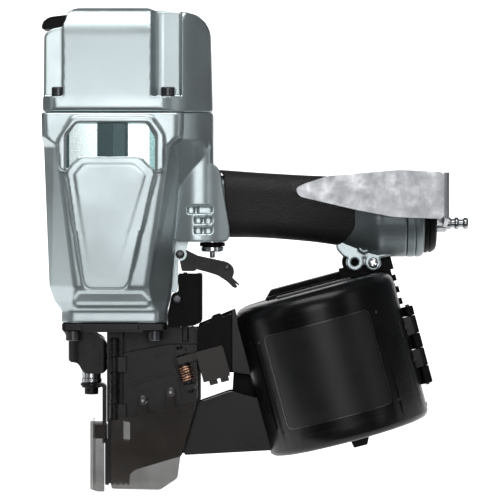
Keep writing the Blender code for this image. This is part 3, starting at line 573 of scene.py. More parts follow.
def chamber():
    """Air chamber and valve housing: broad under the cap, stepping in over a sloped facet."""
    levels = [(CAP_SEAM - 0.1, 1, 0), (258.5, 1, 0), (221, 0, 33), (196, 0, 0)]
    upper = skin([chamber_plan(wide, z, climb) for z, wide, climb in levels])
    outline = rounded([(20, 241), (74, 241), (78, 236), (85, 194), (85, 187), (82.5, 183.6), (46, 183.6),
                       (38, 190), (20, 190)], 3)
    plan = rounded([(0, -27), (40, -28), (60, -33.4), (74, -31.4), (90, -24), (90, 24), (74, 31.4),
                    (60, 33.4), (40, 28), (0, 27)], 5)
    solid = join(upper, keep(extrude(outline, "Y", -46, 46), extrude(plan, "Z", 170, 290)))
    for side in (-1, 1):
        for low, high, left in ((204.3, 210, 54), (196.8, 202.3, 59.2), (189.4, 194.9, 59.2)):
            pocket = extrude(round_rect(left, 72, low, high, 1.6), "Y", *span(side, 29.2, 40))
            bar = block(left + 5.5, left + 7.5, *span(side, 28, 31.2), low - 1, high + 1)
            solid = join(cut(solid, pocket), bar)
    return cast(cut(solid, valve_bore(), rod("Z", (0, 0), 33, 180, 290)), 0.75, 2)


def valve_bore():
    """Room for the trigger valve and its plunger, through the chamber floor into the handle."""
    return rod("Z", (PLUNGER_X, 0), 8, 176, ends("valve_plunger", 2)[1] + 8)


def trigger_lugs():
    """The two ears that hold the trigger pin, part of the same casting."""
    pivot = Vector(JOINTS["trigger_pull"]["pos_m"]) / MM
    centre = (pivot.x - AXIS_X / MM, pivot.z)
    result = None
    for side in (-1, 1):
        depths = span(side, 8, 11)
        ear = join(rod("Y", centre, 4.9, *depths),
                   extrude([(41, 172), (48, 170.5), (52, 176), (56, 190), (41, 192)], "Y", *depths))
        rib = plate([(40, 146), (45.4, 146), (46.4, 152), (46.4, 172), (40, 174)], 1, *span(side, 7.4, 11))
        result = join(result, ear, rib) if result else join(ear, rib)
    return eased(cut(result, rod("Y", centre, 2.3, -13, 13)), 0.5)


def handle_end():
    """Handle core and the flared end."""
    core = loft_along(blended([(66, 212, 21, 15, 10), (110, 210.5, 21, 15, 10), (152, 207, 21.3, 15.3, 10),
                               (163, 205.8, 22, 16.5, 11), (176, 203.6, 24.5, 21, 14),
                               (192, END_Z, END_RADIUS, END_RADIUS, 28.9),
                               (200, END_Z, END_RADIUS, END_RADIUS, 28.9),
                               (215.9, END_Z, END_RADIUS, END_RADIUS, 28.9)], 4))
    return cast(cut(core, valve_bore()), 0.9, 3)


def magazine_bracket():
    """Two ears under the flared end, with the screwed boss between them, on a blended neck."""
    root = plate([(164, 186), (206, 186), (206, 174), (198, 171.5), (185, 172), (170, 171.5), (164, 178)], 2,
                 -10, 10)
    ears = [rod("Y", BRACKET_PIN, 6.3, -10, 10), rod("Y", BRACKET_SCREW, 5.8, -10, 10)]
    neck = plate([(172, 176), (197, 176), (195, 166), (174, 166)], 2, -9.4, 9.4)
    solid = join(root, neck, *ears)
    solid = cut(solid, rod("Y", BRACKET_PIN, 2.8, -12, 12), rod("Y", BRACKET_SCREW, 2.8, -12, 12))
    boss = cut(rod("Y", (184.5, 179.5), 4.6, -14, -6, 6), rod("Y", (184.5, 179.5), 2.2, -16, -11, 6))
    return cast(join(solid, boss), 0.6, 3)


def window_panes():
    """Glossy curved inlay in the window recess, a teal-tinted chrome plate: its pale sides and dark middle
    blocks are painted reflection, nothing printed.
    """
    outline = rounded([(-34.2, 259), (-27, 269.8), (25, 269.8), (31.3, 259), (31.3, 234.4), (19.4, 245.2),
                       (-23.9, 245.2), (-34.2, 234.4)], 2.2)
    panes = []
    # Bands across the inlay: the dark bands in the middle paint the plate's dark reflection band, and the
    # pale bands to each side paint its bright reflection.
    spans = ((-36, -31.6, TEAL), (-31.5, -11, AQUA), (-10.9, 0.2, DEEP), (0.3, 8.9, TEAL), (9, 11.2, DEEP),
             (11.3, 27, AQUA), (27.1, 33, SEA))
    for left, right, material in spans:
        for side in (-1, 1):
            bow = rod("Z", (-1.5, 0), 420, 230, 275, 720)
            bow.data.transform(Matrix.Translation(Vector((0, -side * (420 - 53.9) * MM, 0))))
            depth = span(side, 40, 56)
            pane = keep(extrude(outline, "Y", *depth), block(left, right, -60, 60, 230, 273))
            pane = keep(pane, bow)
            pane = cut(pane, block(-40, 40, -51.6, 51.6, 225, 280))
            panes.append((eased(pane, 0.15, 2, 40), material))
    return panes


def cap_notches():
    """Space over the cap bolts: the front pair open to the front, the rear pair broad flutes."""
    tools = []
    for sign in (-1, 1):
        front = rounded([(-60, 290), (-36.5, 290), (-36.5, 346), (-60, 346)], 1.5)
        tools.append(extrude(front, "Y", *span(sign, 33, 60)))
        flute = [(28.3, sign * 60), (28.3, sign * 37), (31.5, sign * 33.6), (36, sign * 33),
                 (49.8, sign * 34.2), (50.4, sign * 60)]
        tools.append(extrude(flute, "Z", 290, 360))
    return tools


def cap():
    """Cylinder cap: rounded cheeks that lean back, bolt flutes, and the deflector's well."""
    side = rounded([(-51.4, CAP_SEAM + 0.1), (-51, 336), (-46, 340), (-36, 342), (-33, CAP_TOP - 3),
                    (-27, CAP_TOP), (26, CAP_TOP), (30, 353.2), (50, 352.4), (61, 350), (67.5, 345),
                    (71, 338), (72.6, CAP_SEAM + 0.1)], 3)
    plan = rounded([(-52, -44), (-44, -52), (40, -52), (56, -42), (73, -24), (73, 24), (56, 42), (40, 52),
                    (-44, 52), (-52, 44)], 11)
    front = rounded([(-51.9, CAP_SEAM + 0.1), (-51.7, 288), (-47.6, 340), (-42, CAP_TOP), (42, CAP_TOP),
                     (47.6, 340), (51.7, 288), (51.9, CAP_SEAM + 0.1)], 6)
    solid = keep(extrude(side, "Y", -60, 60), extrude(plan, "Z", 270, 360))
    solid = keep(solid, extrude(front, "X", -60, 80))
    solid = cut(solid, *cap_notches())
    for x, y in corners(BOLT_SPREAD):
        solid = cut(solid, rod("Z", (x, y), 3.3, 280, 300))
    well = join(rod("Z", DEFLECTOR_AXIS, 21.5, 341, 360), block(-60, -8, -26, 26, 341, 360))
    hollow = rod("Z", (0, 0), 38, CAP_SEAM - 1, 325)
    return cast(cut(solid, well, hollow, rod("Z", DEFLECTOR_AXIS, 10, 320, 342)), 0.92, 2)


def deflector():
    """Swivelling exhaust hood with its mouth over the front edge of the cap."""
    hood = join(turned([(341.4, 20.4), (348, 20.4), (350.4, 19), (351.4, 16.5)], "Z", DEFLECTOR_AXIS),
                plate([(-8, 341.4), (-44, 341.4), (-52.5, 340.3), (-54.2, 341.6), (-53, 346.4), (-48, 349.8),
                       (-36, 351.2), (-8, 351.2)], 2, -14, 14))
    mouth = block(-60, -46, -11, 11, 343, 346.8)
    hood = cut(hood, mouth, turned([(349.6, 8), (353, 8)], "Z", DEFLECTOR_AXIS))
    for y in (-8, 0, 8):
        hood = cut(hood, block(-42, -30, y - 1.2, y + 1.2, 350.4, 352))
    return eased(hood, 0.8, 3)


def grip():
    """Rubber sleeve, thicker at the palm, ending in a curve before the flared end."""
    stations = blended([(70.5, 212, 25.2, 20, 14), (78, 211.8, 25, 19.6, 14), (110, 210.4, 24.1, 18.9, 14),
                        (140, 208.4, 24.4, 19, 14), (157, 207, 25, 19.6, 14), (176, 204.6, 25.6, 21.8, 15),
                        (181, 203.8, 25.8, 23, 15)], 5)
    sleeve = loft_along(stations)
    ring = plate([(60, 260), (72.2, 240), (73.5, 237.6), (80.5, 233.2), (83.4, 188.3), (82, 175), (40, 175),
                  (40, 260)], 2, -50, 50)
    sleeve = cut(sleeve, keep(ring, plate([(0, -35.3), (54, -35.3), (67, -29.3), (95, -23.3), (95, 23.3),
                                           (67, 29.3), (54, 35.3), (0, 35.3)], 8, 170, 290, axis="Z")))
    edge_curve = []
    for step in range(13):
        turn = math.radians(-62 + 124 * step / 12)
        edge_curve.append((149 + 31 * math.cos(turn), 207 + 31 * math.sin(turn)))
    tail = extrude(edge_curve + [(200, 250), (200, 160)], "Y", -40, 40)
    core = loft_along(blended([(60, 212, 20, 14, 10), (110, 210.5, 20, 14, 10), (152, 207, 20.3, 14.3, 10),
                               (176, 203.6, 24.5, 21, 14), (184, 202.4, 26, 24, 16)], 4))
    return cast(cut(sleeve, tail, core), 0.8, 4)


def bolt(centre, low, high, radius, socket_up=True):
    """Socket head with a chamfered rim and its hex socket."""
    edge, socket_depth = 0.6, 3.5
    if socket_up:
        profile = [(low, radius - 0.2), (low + 0.3, radius), (high - edge, radius), (high, radius - edge)]
        hexagon = rod("Z", centre, radius * 0.52, high - socket_depth, high + 1, 6)
    else:
        profile = [(low, radius - edge), (low + edge, radius), (high - 0.3, radius), (high, radius - 0.2)]
        hexagon = rod("Z", centre, radius * 0.52, low - 1, low + socket_depth, 6)
    return eased(cut(turned(profile, "Z", centre, 40), hexagon), 0.2, 2)


def build_housing():
    dress(barrel(), "barrel_skin", "housing", SILVER, "silver_paint", "body_casting")
    dress(chamber(), "chamber_skin", "housing", SILVER, "silver_paint", "body_casting")
    # The handle end takes the darker copy of the silver paint: painted shade, not a different paint.
    dress(handle_end(), "handle_end_skin", "housing", SHADED_SILVER, "silver_paint", "body_casting")
    dress(magazine_bracket(), "magazine_bracket", "housing", SILVER, "silver_paint", "body_casting")
    dress(trigger_lugs(), "trigger_lugs", "housing", SILVER, "silver_paint", "body_casting")
    dress(cap(), "cap_skin", "housing", SILVER, "silver_paint", "cylinder_cap")
    for number, (pane, material) in enumerate(window_panes(), 1):
        dress(pane, f"window_pane_{number}", "housing", material, "gloss_black")
    dress(deflector(), "deflector_hood", "deflector", PLASTIC, "black_plastic", "exhaust_deflector")
    dress(grip(), "grip_sleeve", "housing", RUBBER, "grip_rubber", "handle_grip")
    for number, centre in enumerate(corners(BOLT_SPREAD), 1):
        head = bolt(centre, CAP_BOLT_SEAT, ends(f"cap_bolt_{number}", 2)[1], 5)
        dress(head, f"cap_screw_{number}", "housing", BOLT, "dark_steel", f"cap_bolt_{number}")
    for number, centre in enumerate(corners(NOSE_BOLT_SPREAD), 1):
        head = bolt(centre, ends(f"nose_bolt_{number}", 2)[0], NOSE_BOLT_SEAT, 5.5, False)
        dress(head, f"nose_screw_{number}", "housing", BOLT, "dark_steel", f"nose_bolt_{number}")


# ---------------------------------------------------------------- handle end

def end_cap():
    """Turned cap on the flared end, with a shallow seam groove and a rolled front edge."""
    left, right = ends("end_cap", 0)
    body = turned([(left, END_RADIUS), (left + 5, END_RADIUS), (left + 5.4, END_RADIUS - 0.5),
                   (left + 6.2, END_RADIUS - 0.5), (left + 6.6, END_RADIUS), (right - 4, END_RADIUS),
                   (right - 1.4, END_RADIUS - 1), (right, END_RADIUS - 3)], "X", (0, END_Z), 96)
    body = cut(body, rod("X", (0, END_Z), 20, left - 5, right - 5, 64),
               rod("X", (0, PLUG_Z), 5, left - 5, right + 5))
    return eased(body, 0.3, 2)


def end_cover():
    left, right = ends("end_cover", 0)
    radius = END_RADIUS - 3
    body = turned([(left, radius), (left + 2, radius), (left + 2.4, radius - 0.7), (left + 3.4, radius - 0.7),
                   (left + 3.8, radius - 0.2), (right - 3, radius - 0.8), (right - 1, radius - 2.2),
                   (right, radius - 4.2)], "X", (0, END_Z), 96)
    return eased(cut(body, rod("X", (0, PLUG_Z), 5, left - 5, right + 5)), 0.3, 2)


def air_plug():
    """Quick-connect nipple: knurled collar, hex and stepped nose."""
    z = PLUG_Z
    left, right = ends("air_plug", 0)
    root = turned([(left, 4.6), (left + 9.8, 4.6)], "X", (0, z))
    hexagon = keep(rod("X", (0, z), 6.5, left + 9.4, left + 17, 6),
                   turned([(left + 9.4, 5.6), (left + 10.2, 6.4), (left + 16.2, 6.4), (left + 17, 5.6)], "X",
                          (0, z)))
    steps = [(-16.4, 4.4), (-13.6, 4.6), (-13.2, 4.2), (-12.4, 3.3), (-10.4, 3.3), (-9.8, 4.3), (-9.4, 4.5),
             (-8.0, 4.5), (-7.4, 4.2), (-6.8, 3.0), (-4.0, 3.0), (-3.4, 3.9), (-2.8, 4.2), (-1.2, 4.2),
             (-0.4, 3.9), (0, 3.4)]
    nose_part = turned([(right + step, radius) for step, radius in steps], "X", (0, z))
    plug = join(hexagon, root, nose_part)
    return eased(cut(plug, rod("X", (0, z), 1.9, left - 5, right + 5)), 0.15, 2, 35)


def rafter_hook():
    """Sheet hook: a broad tongue beside the handle, folded round to a plate on the end."""
    face = HOOK_FACE
    low_x, high_x = ends("rafter_hook", 0)
    tongue = rounded([(133, 223), (140, 226.5), (157, 232), (209, 236.5), (232, 235.4), (high_x - 4, 235),
                      (high_x - 4, 200.6), (205, 202), (179, 207), (136, 217)], 4)
    sheet = extrude(tongue, "Y", face - 3, face)
    rear = plate([(face + 4, 201), (face + 4, 233.4), (2, 222), (14, 212), (14.5, 200), (8, 195.5), (-6, 194),
                  (-20, 197)], 4, high_x - 3, high_x, axis="X")
    inner = extrude(fold(high_x - 4.2, face + 1.2, 4.2, 1.2, -1), "Z", 200.8, 234.6)
    left_rear = extrude([(face + 1, 200.8), (face + 1, 234.6), (face + 5, 233), (face + 5, 201)], "X",
                        high_x - 3, high_x)
    hook = join(sheet, inner, left_rear, rear)
    hook = cut(hook, rod("X", (0, PLUG_Z), 7, high_x - 10, high_x + 10))
    return eased(hook, 0.55, 3, 35)


def build_handle_end():
    # The end cap also takes the darker copy of the silver paint: painted shade on its curved face.
    dress(end_cap(), "end_cap_turned", "housing", SHADED_SILVER, "silver_paint", "end_cap")
    dress(end_cover(), "end_cover_ring", "housing", PLASTIC, "black_plastic", "end_cover")
    dress(air_plug(), "plug_turned", "housing", ZINC, "bright_zinc", "air_plug")
    dress(rafter_hook(), "hook_sheet", "rafter_hook", MOTTLED, "cast_aluminium", "rafter_hook")


# ---------------------------------------------------------------- magazine

CAN_PROFILE = [(-56, 55.5), (-55.4, 58), (-53.8, 60), (-51.4, 61), (46, 61), (50, 60.3), (53.4, 58.4),
               (55.8, 55.4), (57, 51)]


def can_half(side):
    """Half of the drum with rounded shoulders; side is -1 near, +1 far."""
    half = span(side, 0.15, 90)
    drum = cut(turned(CAN_PROFILE, "Z", (0, 0), 144), rod("Z", (0, 0), 58, -53, 54, 96))
    drum = keep(drum, block(-90, 90, *half, -80, 80))
    return cut(drum, block(-80, -30, *span(side, -1, 10.6), -53, 54))


def on_drum(outline, radius, radius_inside=59.0):
    """A raised field that follows the drum's curve on its near side."""
    depths = (-70, -30)
    if min(abs(outline[0][0]), abs(outline[-1][0])) > 45:
        depths = (-70, -4)
    field = keep(extrude(outline, "Y", *depths), rod("Z", (0, 0), radius, -70, 70, 144))
    return cut(field, rod("Z", (0, 0), radius_inside, -71, 71, 144))


def throat_wall(side):
    depth = span(side, 10, 14)
    start = 61.4 if side > 0 else 87
    upper = rounded([(start, 87), (start, 133 if side < 0 else 122), (88, 133), (112, 142), (118, 118),
                     (112, 84)], 2.5)
    lower = rounded([(50.8, 25.5), (61.8, 64.5), (86, 73), (104, 68), (122, 70), (122, 29.4)], 2.5)
    panels = [upper, lower]
    if side > 0:
        panels.append([(86.5, 66), (88, 90), (120, 90), (120, 64)])
    return [cut(extrude(panel, "Y", *depth), tilted(rod("Z", (0, 0), 60, -75, 75, 96))) for panel in panels]


def knuckles(side, spans):
    barrels = []
    for low, high in spans:
        barrel = turned([(low, 3.3), (low + 0.4, 4.0), (high - 0.4, 4.0), (high, 3.3)], "Z", (CAN_HINGE_X, 0),
                        48)
        web = block(CAN_RADIUS - 4, CAN_HINGE_X, *span(side, 0.2, 6), low, high)
        barrels.append(join(barrel, web))
    return barrels


def clip(low, high):
    """H-shaped stiffener between the drum and its hinge."""
    left = block(53.5, 56.5, -24, -6.5, low, high)
    right = block(61.8, 64.2, -9, -3, low, high)
    bar_level = (low + high) / 2
    bar = block(54, 64, -12, -4, bar_level - 1.4, bar_level + 1.4)
    return join(left, bar, right)


def magazine_cover():
    cover = can_half(-1)
    label = rounded([(-43, -37), (-43, 34), (36, 34), (36, -37)], 5)
    cover = join(cover, on_drum(label, 62.2))
    for low, high in ((39.5, 42.6), (-45.6, -42)):
        strip = rounded([(-36, low), (28, low), (28, high), (-36, high)], 0.8)
        cover = join(cover, on_drum(strip, 61.9))
    band = rounded([(-59.2, -37), (-59.2, 33), (-51, 35), (-51, -36)], 2.5)
    cover = join(cover, on_drum(band, 61.7, 58.5))
    cover = cut(cover, rod("Z", (0, 0), 10, -57, -52))
    for x, z in ((-47, 30), (-47, -38), (41, 30), (41, -36)):
        cover = join(cover, rod("Y", (x, z), 1.1, -math.sqrt(CAN_RADIUS ** 2 - x ** 2) - 0.5, -30, 16))
    for y in (-12, -24):
        cover = join(cover, block(-26, 30, y - 3.4, y + 3.4, 56, 58.6))
    cover = join(cover, *knuckles(-1, ((-19.7, -6.3), (5.3, 18.7))))
    cover = join(cover, clip(-18.8, -7.2), clip(6.2, 17.8))
    cover = tilted(cover)
    cover = join(cover, *throat_wall(-1))
    groove = plate([(89, 118), (112, 127), (112, 126), (89, 117)], 0.3, -15, -13.4)
    cover = cut(cover, groove, tilted(rod("Z", (CAN_HINGE_X, 0), 1.8, -60, 60, 24)))
    return eased(cover, 0.45, 3, 32)


def label_field():
    """Satin field inside the raised frame, its own finish, with nothing printed on it."""
    outline = rounded([(-42.2, -36.2), (-42.2, 33.2), (35.2, 33.2), (35.2, -36.2)], 4.4)
    return eased(tilted(on_drum(outline, 62.55, 61.8)), 0.12, 2, 40)


def label_bead():
    """Fine bead round the field; its lighter steel finish paints the highlight along the bead's edge."""
    outer = plate([(-43.1, -37.1), (-43.1, 34.1), (36.1, 34.1), (36.1, -37.1)], 5.1, -70, -30)
    inner = plate([(-42.5, -36.5), (-42.5, 33.5), (35.5, 33.5), (35.5, -36.5)], 4.6, -71, -29)
    ring = keep(cut(outer, inner), rod("Z", (0, 0), 62.8, -70, 70, 144))
    return eased(tilted(cut(ring, rod("Z", (0, 0), 61.9, -71, 71, 144))), 0.15, 2, 40)


def magazine_base():
    base = can_half(1)
    base = join(base, rod("Z", (0, 0), 9.6, -56, -53), rod("Z", (0, 0), 5, -56, 46))
    strut = block(24, 64, 10.4, 15, 50, 66)
    rail = block(57, 64, 10.4, 18, 20, 65)
    foot = plate([(-1.6, -53.8), (16.8, -53.8), (11, -66), (0.6, -66)], 1.2, 4, 40)
    base = join(base, strut, rail, foot)
    for level in (24, 33, 42, 51):
        base = cut(base, block(61.5, 66, 5, 20, level, level + 4.4))
    spine = plate([(-36, 56), (-29, 63.4), (34, 63.4), (38, 56)], 1.5, 17, 40)
    spine = cut(spine, block(-22, 8, 10, 24, 60, 61.6), block(13, 34, 10, 24, 60, 61.6))
    base = join(base, spine, block(-34, 20, 2.5, 12, 56, 59.4))
    base = join(base, *knuckles(1, ((-33, -20), (-6, 5), (19, 26))))
    for x in (-40, -20, 0, 20, 40):
        base = join(base, keep(block(x - 1.8, x + 1.8, 30, 63, -48, 44),
                               rod("Z", (0, 0), 62.8, -50, 50, 144)))
    for level in (-50, 42):
        base = join(base, cut(rod("Z", (0, 0), 62.4, level, level + 3, 144),
                              rod("Z", (0, 0), 60, level - 1, level + 4, 96),
                              block(-80, 80, -80, 8, -70, 70)))
    base = tilted(base)
    base = join(base, *throat_wall(1), block(53.5, 66, 9.3, 13, 30, 60))
    backing = join(rod("Y", BRACKET_PIN, 9, 10.4, 13), rod("Y", BRACKET_SCREW, 8.8, 10.4, 13),
                   block(170, 196, 10.4, 13, 162, 178))
    base = join(base, backing)
    pin = tilted(rod("Z", (CAN_HINGE_X, 0), 1.8, -60, 60, 24))
    base = cut(base, pin, rod("Y", BRACKET_SCREW, 2.8, 5, 20, 24))
    return eased(base, 0.4, 3, 32)


def throat_lip():
    """Fixed cheek of the throat between the feed door and the cover."""
    lip = plate([(61.3, 100), (61.3, 121), (70.5, 124.5), (72, 129), (78, 131), (79.5, 127.5), (86.5, 130.5),
                 (86.5, 88), (84, 88), (80, 100)], 1.5, -14, -10.4)
    tie = block(66, 84, -11, 11, 118, 121)
    return eased(join(lip, tie), 0.5, 3)


def nail_tray():
    tray = turned([(-50, 47.6), (-49.2, 49), (-47.8, 50), (-46, 50)], "Z", (0, 0), 96)
    tray = join(tray, rod("Z", (0, 0), 9, -48, 4))
    return eased(tilted(cut(tray, rod("Z", (0, 0), 5.4, -60, 20))), 0.3, 2)


def bracket_screw():
    """Pan head with its cross recess."""
    x, z = BRACKET_SCREW
    head = join(turned([(-13.4, 2.2), (-12.9, 3.4), (-12, 3.95), (-10.3, 4.05)], "Y", (x, z), 48),
                rod("Y", (x, z), 2.3, -11, 15))
    for turn in (25, 115):
        arm = block(-2.3, 2.3, -14, -12.1, -0.45, 0.45)
        head = cut(head, placed(arm, (x, 0, z), math.radians(turn)))
    return eased(head, 0.12, 2)


def build_magazine():
    dress(magazine_cover(), "drum_cover", "magazine_cover", GLOSS, "gloss_black", "magazine_cover")
    dress(label_field(), "drum_label_field", "magazine_cover", LABEL, "gloss_black")
    # The bead takes the lighter bolt steel though it is gloss black like the cover: painted highlight.
    dress(label_bead(), "drum_label_bead", "magazine_cover", BOLT, "gloss_black")
    dress(magazine_base(), "drum_base", "housing", PLASTIC, "black_plastic", "magazine_base")
    dress(throat_lip(), "throat_lip", "housing", PLASTIC, "black_plastic")
    dress(nail_tray(), "tray_disc", "nail_tray", PLASTIC, "gloss_black", "nail_tray")
    dress(bracket_screw(), "bracket_screw_head", "housing", CHROME, "bright_zinc", "bracket_screw")


# ---------------------------------------------------------------- nose and contact arm

def nose():
    """Flange, driver column, guide tip and far wall of the nail path."""
    flange = plate([(-38, -38), (38, -38), (38, 38), (-38, 38)], 3, 117.5, NOSE_TOP - 0.3, axis="Z")
    for x, y in corners(NOSE_BOLT_SPREAD):
        out_x, out_y = math.copysign(12, x), math.copysign(12, y)
        corner = block(*sorted((x - out_x * 0.7, x + out_x)), *sorted((y - out_y * 0.7, y + out_y)), 110, 119)
        flange = cut(flange, corner, rod("Z", (x, y), 3.3, 110, 126))
    lip = plate([(-24, -39.5), (19, -39.5), (17, -36), (-22, -36)], 1, 119.5, 123, axis="Z")
    rib_left = extrude([(-37.8, 117.8), (-20, 117.8), (-26, 114.5), (-36, 114.5)], "Y", -19, -15.6)
    column = block(-6, 5.6, -12, 12, 50, 118)
    tip = block(-5.6, 5.6, -7, 7, ends("nose", 2)[0], 51)
    wall = plate([(2, 118), (38, 118), (38, 108.5), (63.4, 108.5), (63.4, 66), (52.4, 26), (21, 18),
                  (11.4, 12), (11.4, 50), (2, 50)], 1.5, 5, 9)
    body = join(flange, lip, rod("Z", (0, 0), 13.5, 118, 129), column, tip, wall, rib_left)
    ridge = extrude([(8, 112), (33, 112), (33, 115), (8, 115)], "Y", 8.5, 11)
    web = plate([(37, 108), (49.4, 108), (49.4, 119.5), (45, 121.2), (37, 121.2)], 1, 4.6, 9)
    heel = plate([(54.4, 107), (61, 107), (61, 119), (57, 120.6), (54.4, 119)], 1, 4.6, 9)
    body = join(body, ridge, web, heel, block(30, 61, 17.8, 20.5, 107, 119.6))
    slot = block(-39.5, -26, -30, -13, -2.2, 2.2)
    at_feeder(slot)
    path = block(0, 12, -4.3, 4.3, 10, 108)
    return eased(cut(body, rod("Z", (0, 0), 4.3, 0, 140), path, slot), 0.5, 3)


def at_feeder(solid):
    """Move a piece drawn on the feed piston's own axis to its place on the far side."""
    low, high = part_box("feeder_cylinder")
    centre = (Vector(low) + Vector(high)) / 2
    direction = Matrix.Rotation(-LEAN, 4, "Y")
    offset = direction @ Vector((0.5 * MM, 0, 0))
    solid.data.transform(Matrix.Translation(centre - offset) @ direction
                         @ Matrix.Translation(Vector((-AXIS_X, 0, 0))))
    return solid


def spring_housing():
    """Moulded housing with its bulged cheek, vertical slot and round sink mark."""
    side = rounded([(-34.8, 117), (-34.8, 96), (-33, 94.2), (-27.5, 94), (-23, 86), (-9, 86), (-6.4, 88),
                    (-6.4, 109), (-10, 113), (-18, 117)], 3)
    plan = rounded([(-34.8, -9), (-29, -15), (-6.4, -15), (-6.4, 15), (-29, 15), (-34.8, 9)], 3)
    shell = keep(extrude(side, "Y", -15, 15), extrude(plan, "Z", 80, 120))
    cheek = plate([(-33, 97), (-26, 97), (-21.5, 89), (-18, 89), (-17, 112), (-33, 114)], 2.5, -15.8, -14)
    ridge = block(-17, -15.6, -15.7, -14, 89, 112)
    shell = join(shell, keep(cheek, extrude(plan, "Z", 80, 120)), ridge)
    bore = rod("Z", ARM_AXIS, 8.6, 80, 115.6)
    window = block(-23, -6, 0, 20, 92.3, 111)
    arm_slot = block(-14.5, -6, -7.4, 7.4, 84, 92.6)
    slit = extrude(round_rect(-11.6, -10.6, 91.5, 102.5, 0.4), "Y", -17, -13.6)
    mark = rod("Y", (-28.5, 105), 2.4, -17, -14.9)
    return eased(cut(shell, bore, window, arm_slot, slit, mark), 0.6, 3)


def contact_arm():
    """Bent strap, bridge and foot."""
    top = join(rod("Z", ARM_AXIS, 8.2, 76.3, 78.3), block(-14, -9.4, -7, 7, 76.3, 78.3))
    strap = join(extrude(fold(-10.4, 74.9, 3.4, 0.8), "Y", -7, 7), block(-9.6, -7, -7, 7, 40, 75.2))
    bridge = block(-15, -6.3, -9.5, 9.5, 37.5, 47.5)
    foot = plate([(-7.6, 3), (10.4, 3), (10.4, 35.4), (-7.6, 36.4)], 1.2, -9.5, 9.5)
    arm = join(top, strap, bridge, foot, block(-9.6, -6.3, -7, 7, 34, 44))
    clearance = block(-6.3, 6.1, -7.6, 7.6, -1, 60)
    feed_side = block(5, 12, -4.4, 4.4, 8, 60)
    arm = cut(arm, clearance, feed_side, rod("Z", ARM_AXIS, 2.4, 70, 80))
    pivot = turned([(-10.8, 2.2), (-10.4, 2.8), (-9.2, 2.8)], "Y", (-12, 42))
    notches = [rod("Y", (6.5, 14), 0.9, -11, -9), rod("Y", (-3.5, 9), 0.9, -11, -9)]
    arm = cut(join(arm, pivot), *notches, block(-7, -5.6, -11, -9.2, 6, 33))
    for x in (-4, 0, 4, 8):
        arm = cut(arm, block(x - 0.7, x + 0.7, -12, 12, 2, 4.2))
    return eased(arm, 0.35, 2, 35)


def depth_adjuster():
    """Turned and knurled sleeve that sets the arm's depth."""
    low, high = ends("depth_adjuster", 2)
    sleeve = turned([(low, 7.1), (low + 0.6, 7.7), (low + 3.2, 7.7), (low + 3.7, 7.2), (high - 0.6, 7.2),
                     (high, 6.6)], "Z", ARM_AXIS, 96)
    for step in range(12):
        turn = math.radians(step * 30)
        x, y = ARM_AXIS[0] + 7.85 * math.cos(turn), 7.85 * math.sin(turn)
        sleeve = cut(sleeve, rod("Z", (x, y), 0.32, low + 0.7, low + 3.1, 6))
    return eased(cut(sleeve, rod("Z", ARM_AXIS, 2.4, low - 5, high + 5)), 0.15, 2)


def arm_bolt():
    low = ends("arm_bolt", 2)[0]
    head = turned([(low, 4.6), (low + 0.6, 5.2), (low + 5.2, 5.2), (low + 5.4, 4.8), (low + 6, 4.8)], "Z",
                  ARM_AXIS)
    washer = turned([(low + 5.1, 7), (low + 5.4, 7.3), (low + 6.1, 7.3)], "Z", ARM_AXIS)
    bolt_body = join(head, washer, rod("Z", ARM_AXIS, 2.1, 75, 80))
    return eased(cut(bolt_body, rod("Z", ARM_AXIS, 2.6, low - 1, low + 3, 6)), 0.2, 2)


def upper_link():
    tab = block(-22.2, -13.8, -4, 17, 94, 96.5)
    bar = block(-22.2, 57, 14, 17, 94, 100)
    riser = join(block(50.3, 53.3, 14, 17, 94, 112), block(50.3, 53.3, -2, 17, 110, 150))
    blade = block(50.3, 53.3, -2, 2, 149, 160.6)
    return eased(cut(join(tab, bar, riser, blade), rod("Z", ARM_AXIS, 2.4, 90, 98)), 0.4)


def side_shield():
    """Clear guard round the front of the contact arm."""
    face = extrude([(-17.5, 2), (-12, 0), (-7, 0), (-7, 52), (-17.5, 52)], "Y", -32, -30.3)
    return eased(join(face, block(-17.5, -15.4, -32, 9, 2, 52)), 0.5, 3)


def front_shield():
    outline = [(-2, 2.2), (-2, 52), (40, 62), (61.2, 65.2), (48.9, 25.8), (46.7, 10), (34, 1.4)]
    front = plate(outline, 2, -32, -30.3)
    for x, z in DOOR_SCREWS:
        front = join(front, plate([(x - 3, 50), (x + 3, 50), (x + 3, z + 3), (x - 3, z + 3)], 2, -32, -30.3))
    for x, z in DOOR_SCREWS:
        front = cut(front, rod("Y", (x, z), 1.2, -33, -29))
    rib = extrude([(24, 24), (48, 31), (48.3, 32.2), (24, 25.2)], "Y", -32.5, -31.5)
    return eased(join(front, rib), 0.4, 3)


def build_nose():
    dress(nose(), "nose_forging", "housing", STEEL, "dark_steel", "nose")
    dress(spring_housing(), "spring_housing_shell", "housing", BLACK, "black_plastic", "spring_housing")
    dress(contact_arm(), "contact_strap", "contact_arm", BLACK, "black_metal", "contact_arm")
    dress(depth_adjuster(), "adjuster_sleeve", "depth_adjuster", CHROME, "bright_zinc", "depth_adjuster")
    dress(arm_bolt(), "arm_bolt_head", "contact_arm", STEEL, "dark_steel", "arm_bolt")
    dress(upper_link(), "link_plate", "push_lever", BLACK, "black_metal", "upper_link")
    dress(side_shield(), "side_shield_clear", "contact_arm", SMOKE, "smoked_shield", "side_shield")
    dress(front_shield(), "front_shield_clear", "front_shield", SMOKE, "smoked_shield", "front_shield")
    spring = wire_coil((*ARM_AXIS, 100.3), 5.5, 0.7, 14.3, 4)
    dress(spring, "contact_spring_wire", "housing", BOLT, "dark_steel", "contact_spring")


# ---------------------------------------------------------------- feed door

DOOR_SCREWS = ((21, 66.9), (41.5, 72.9))


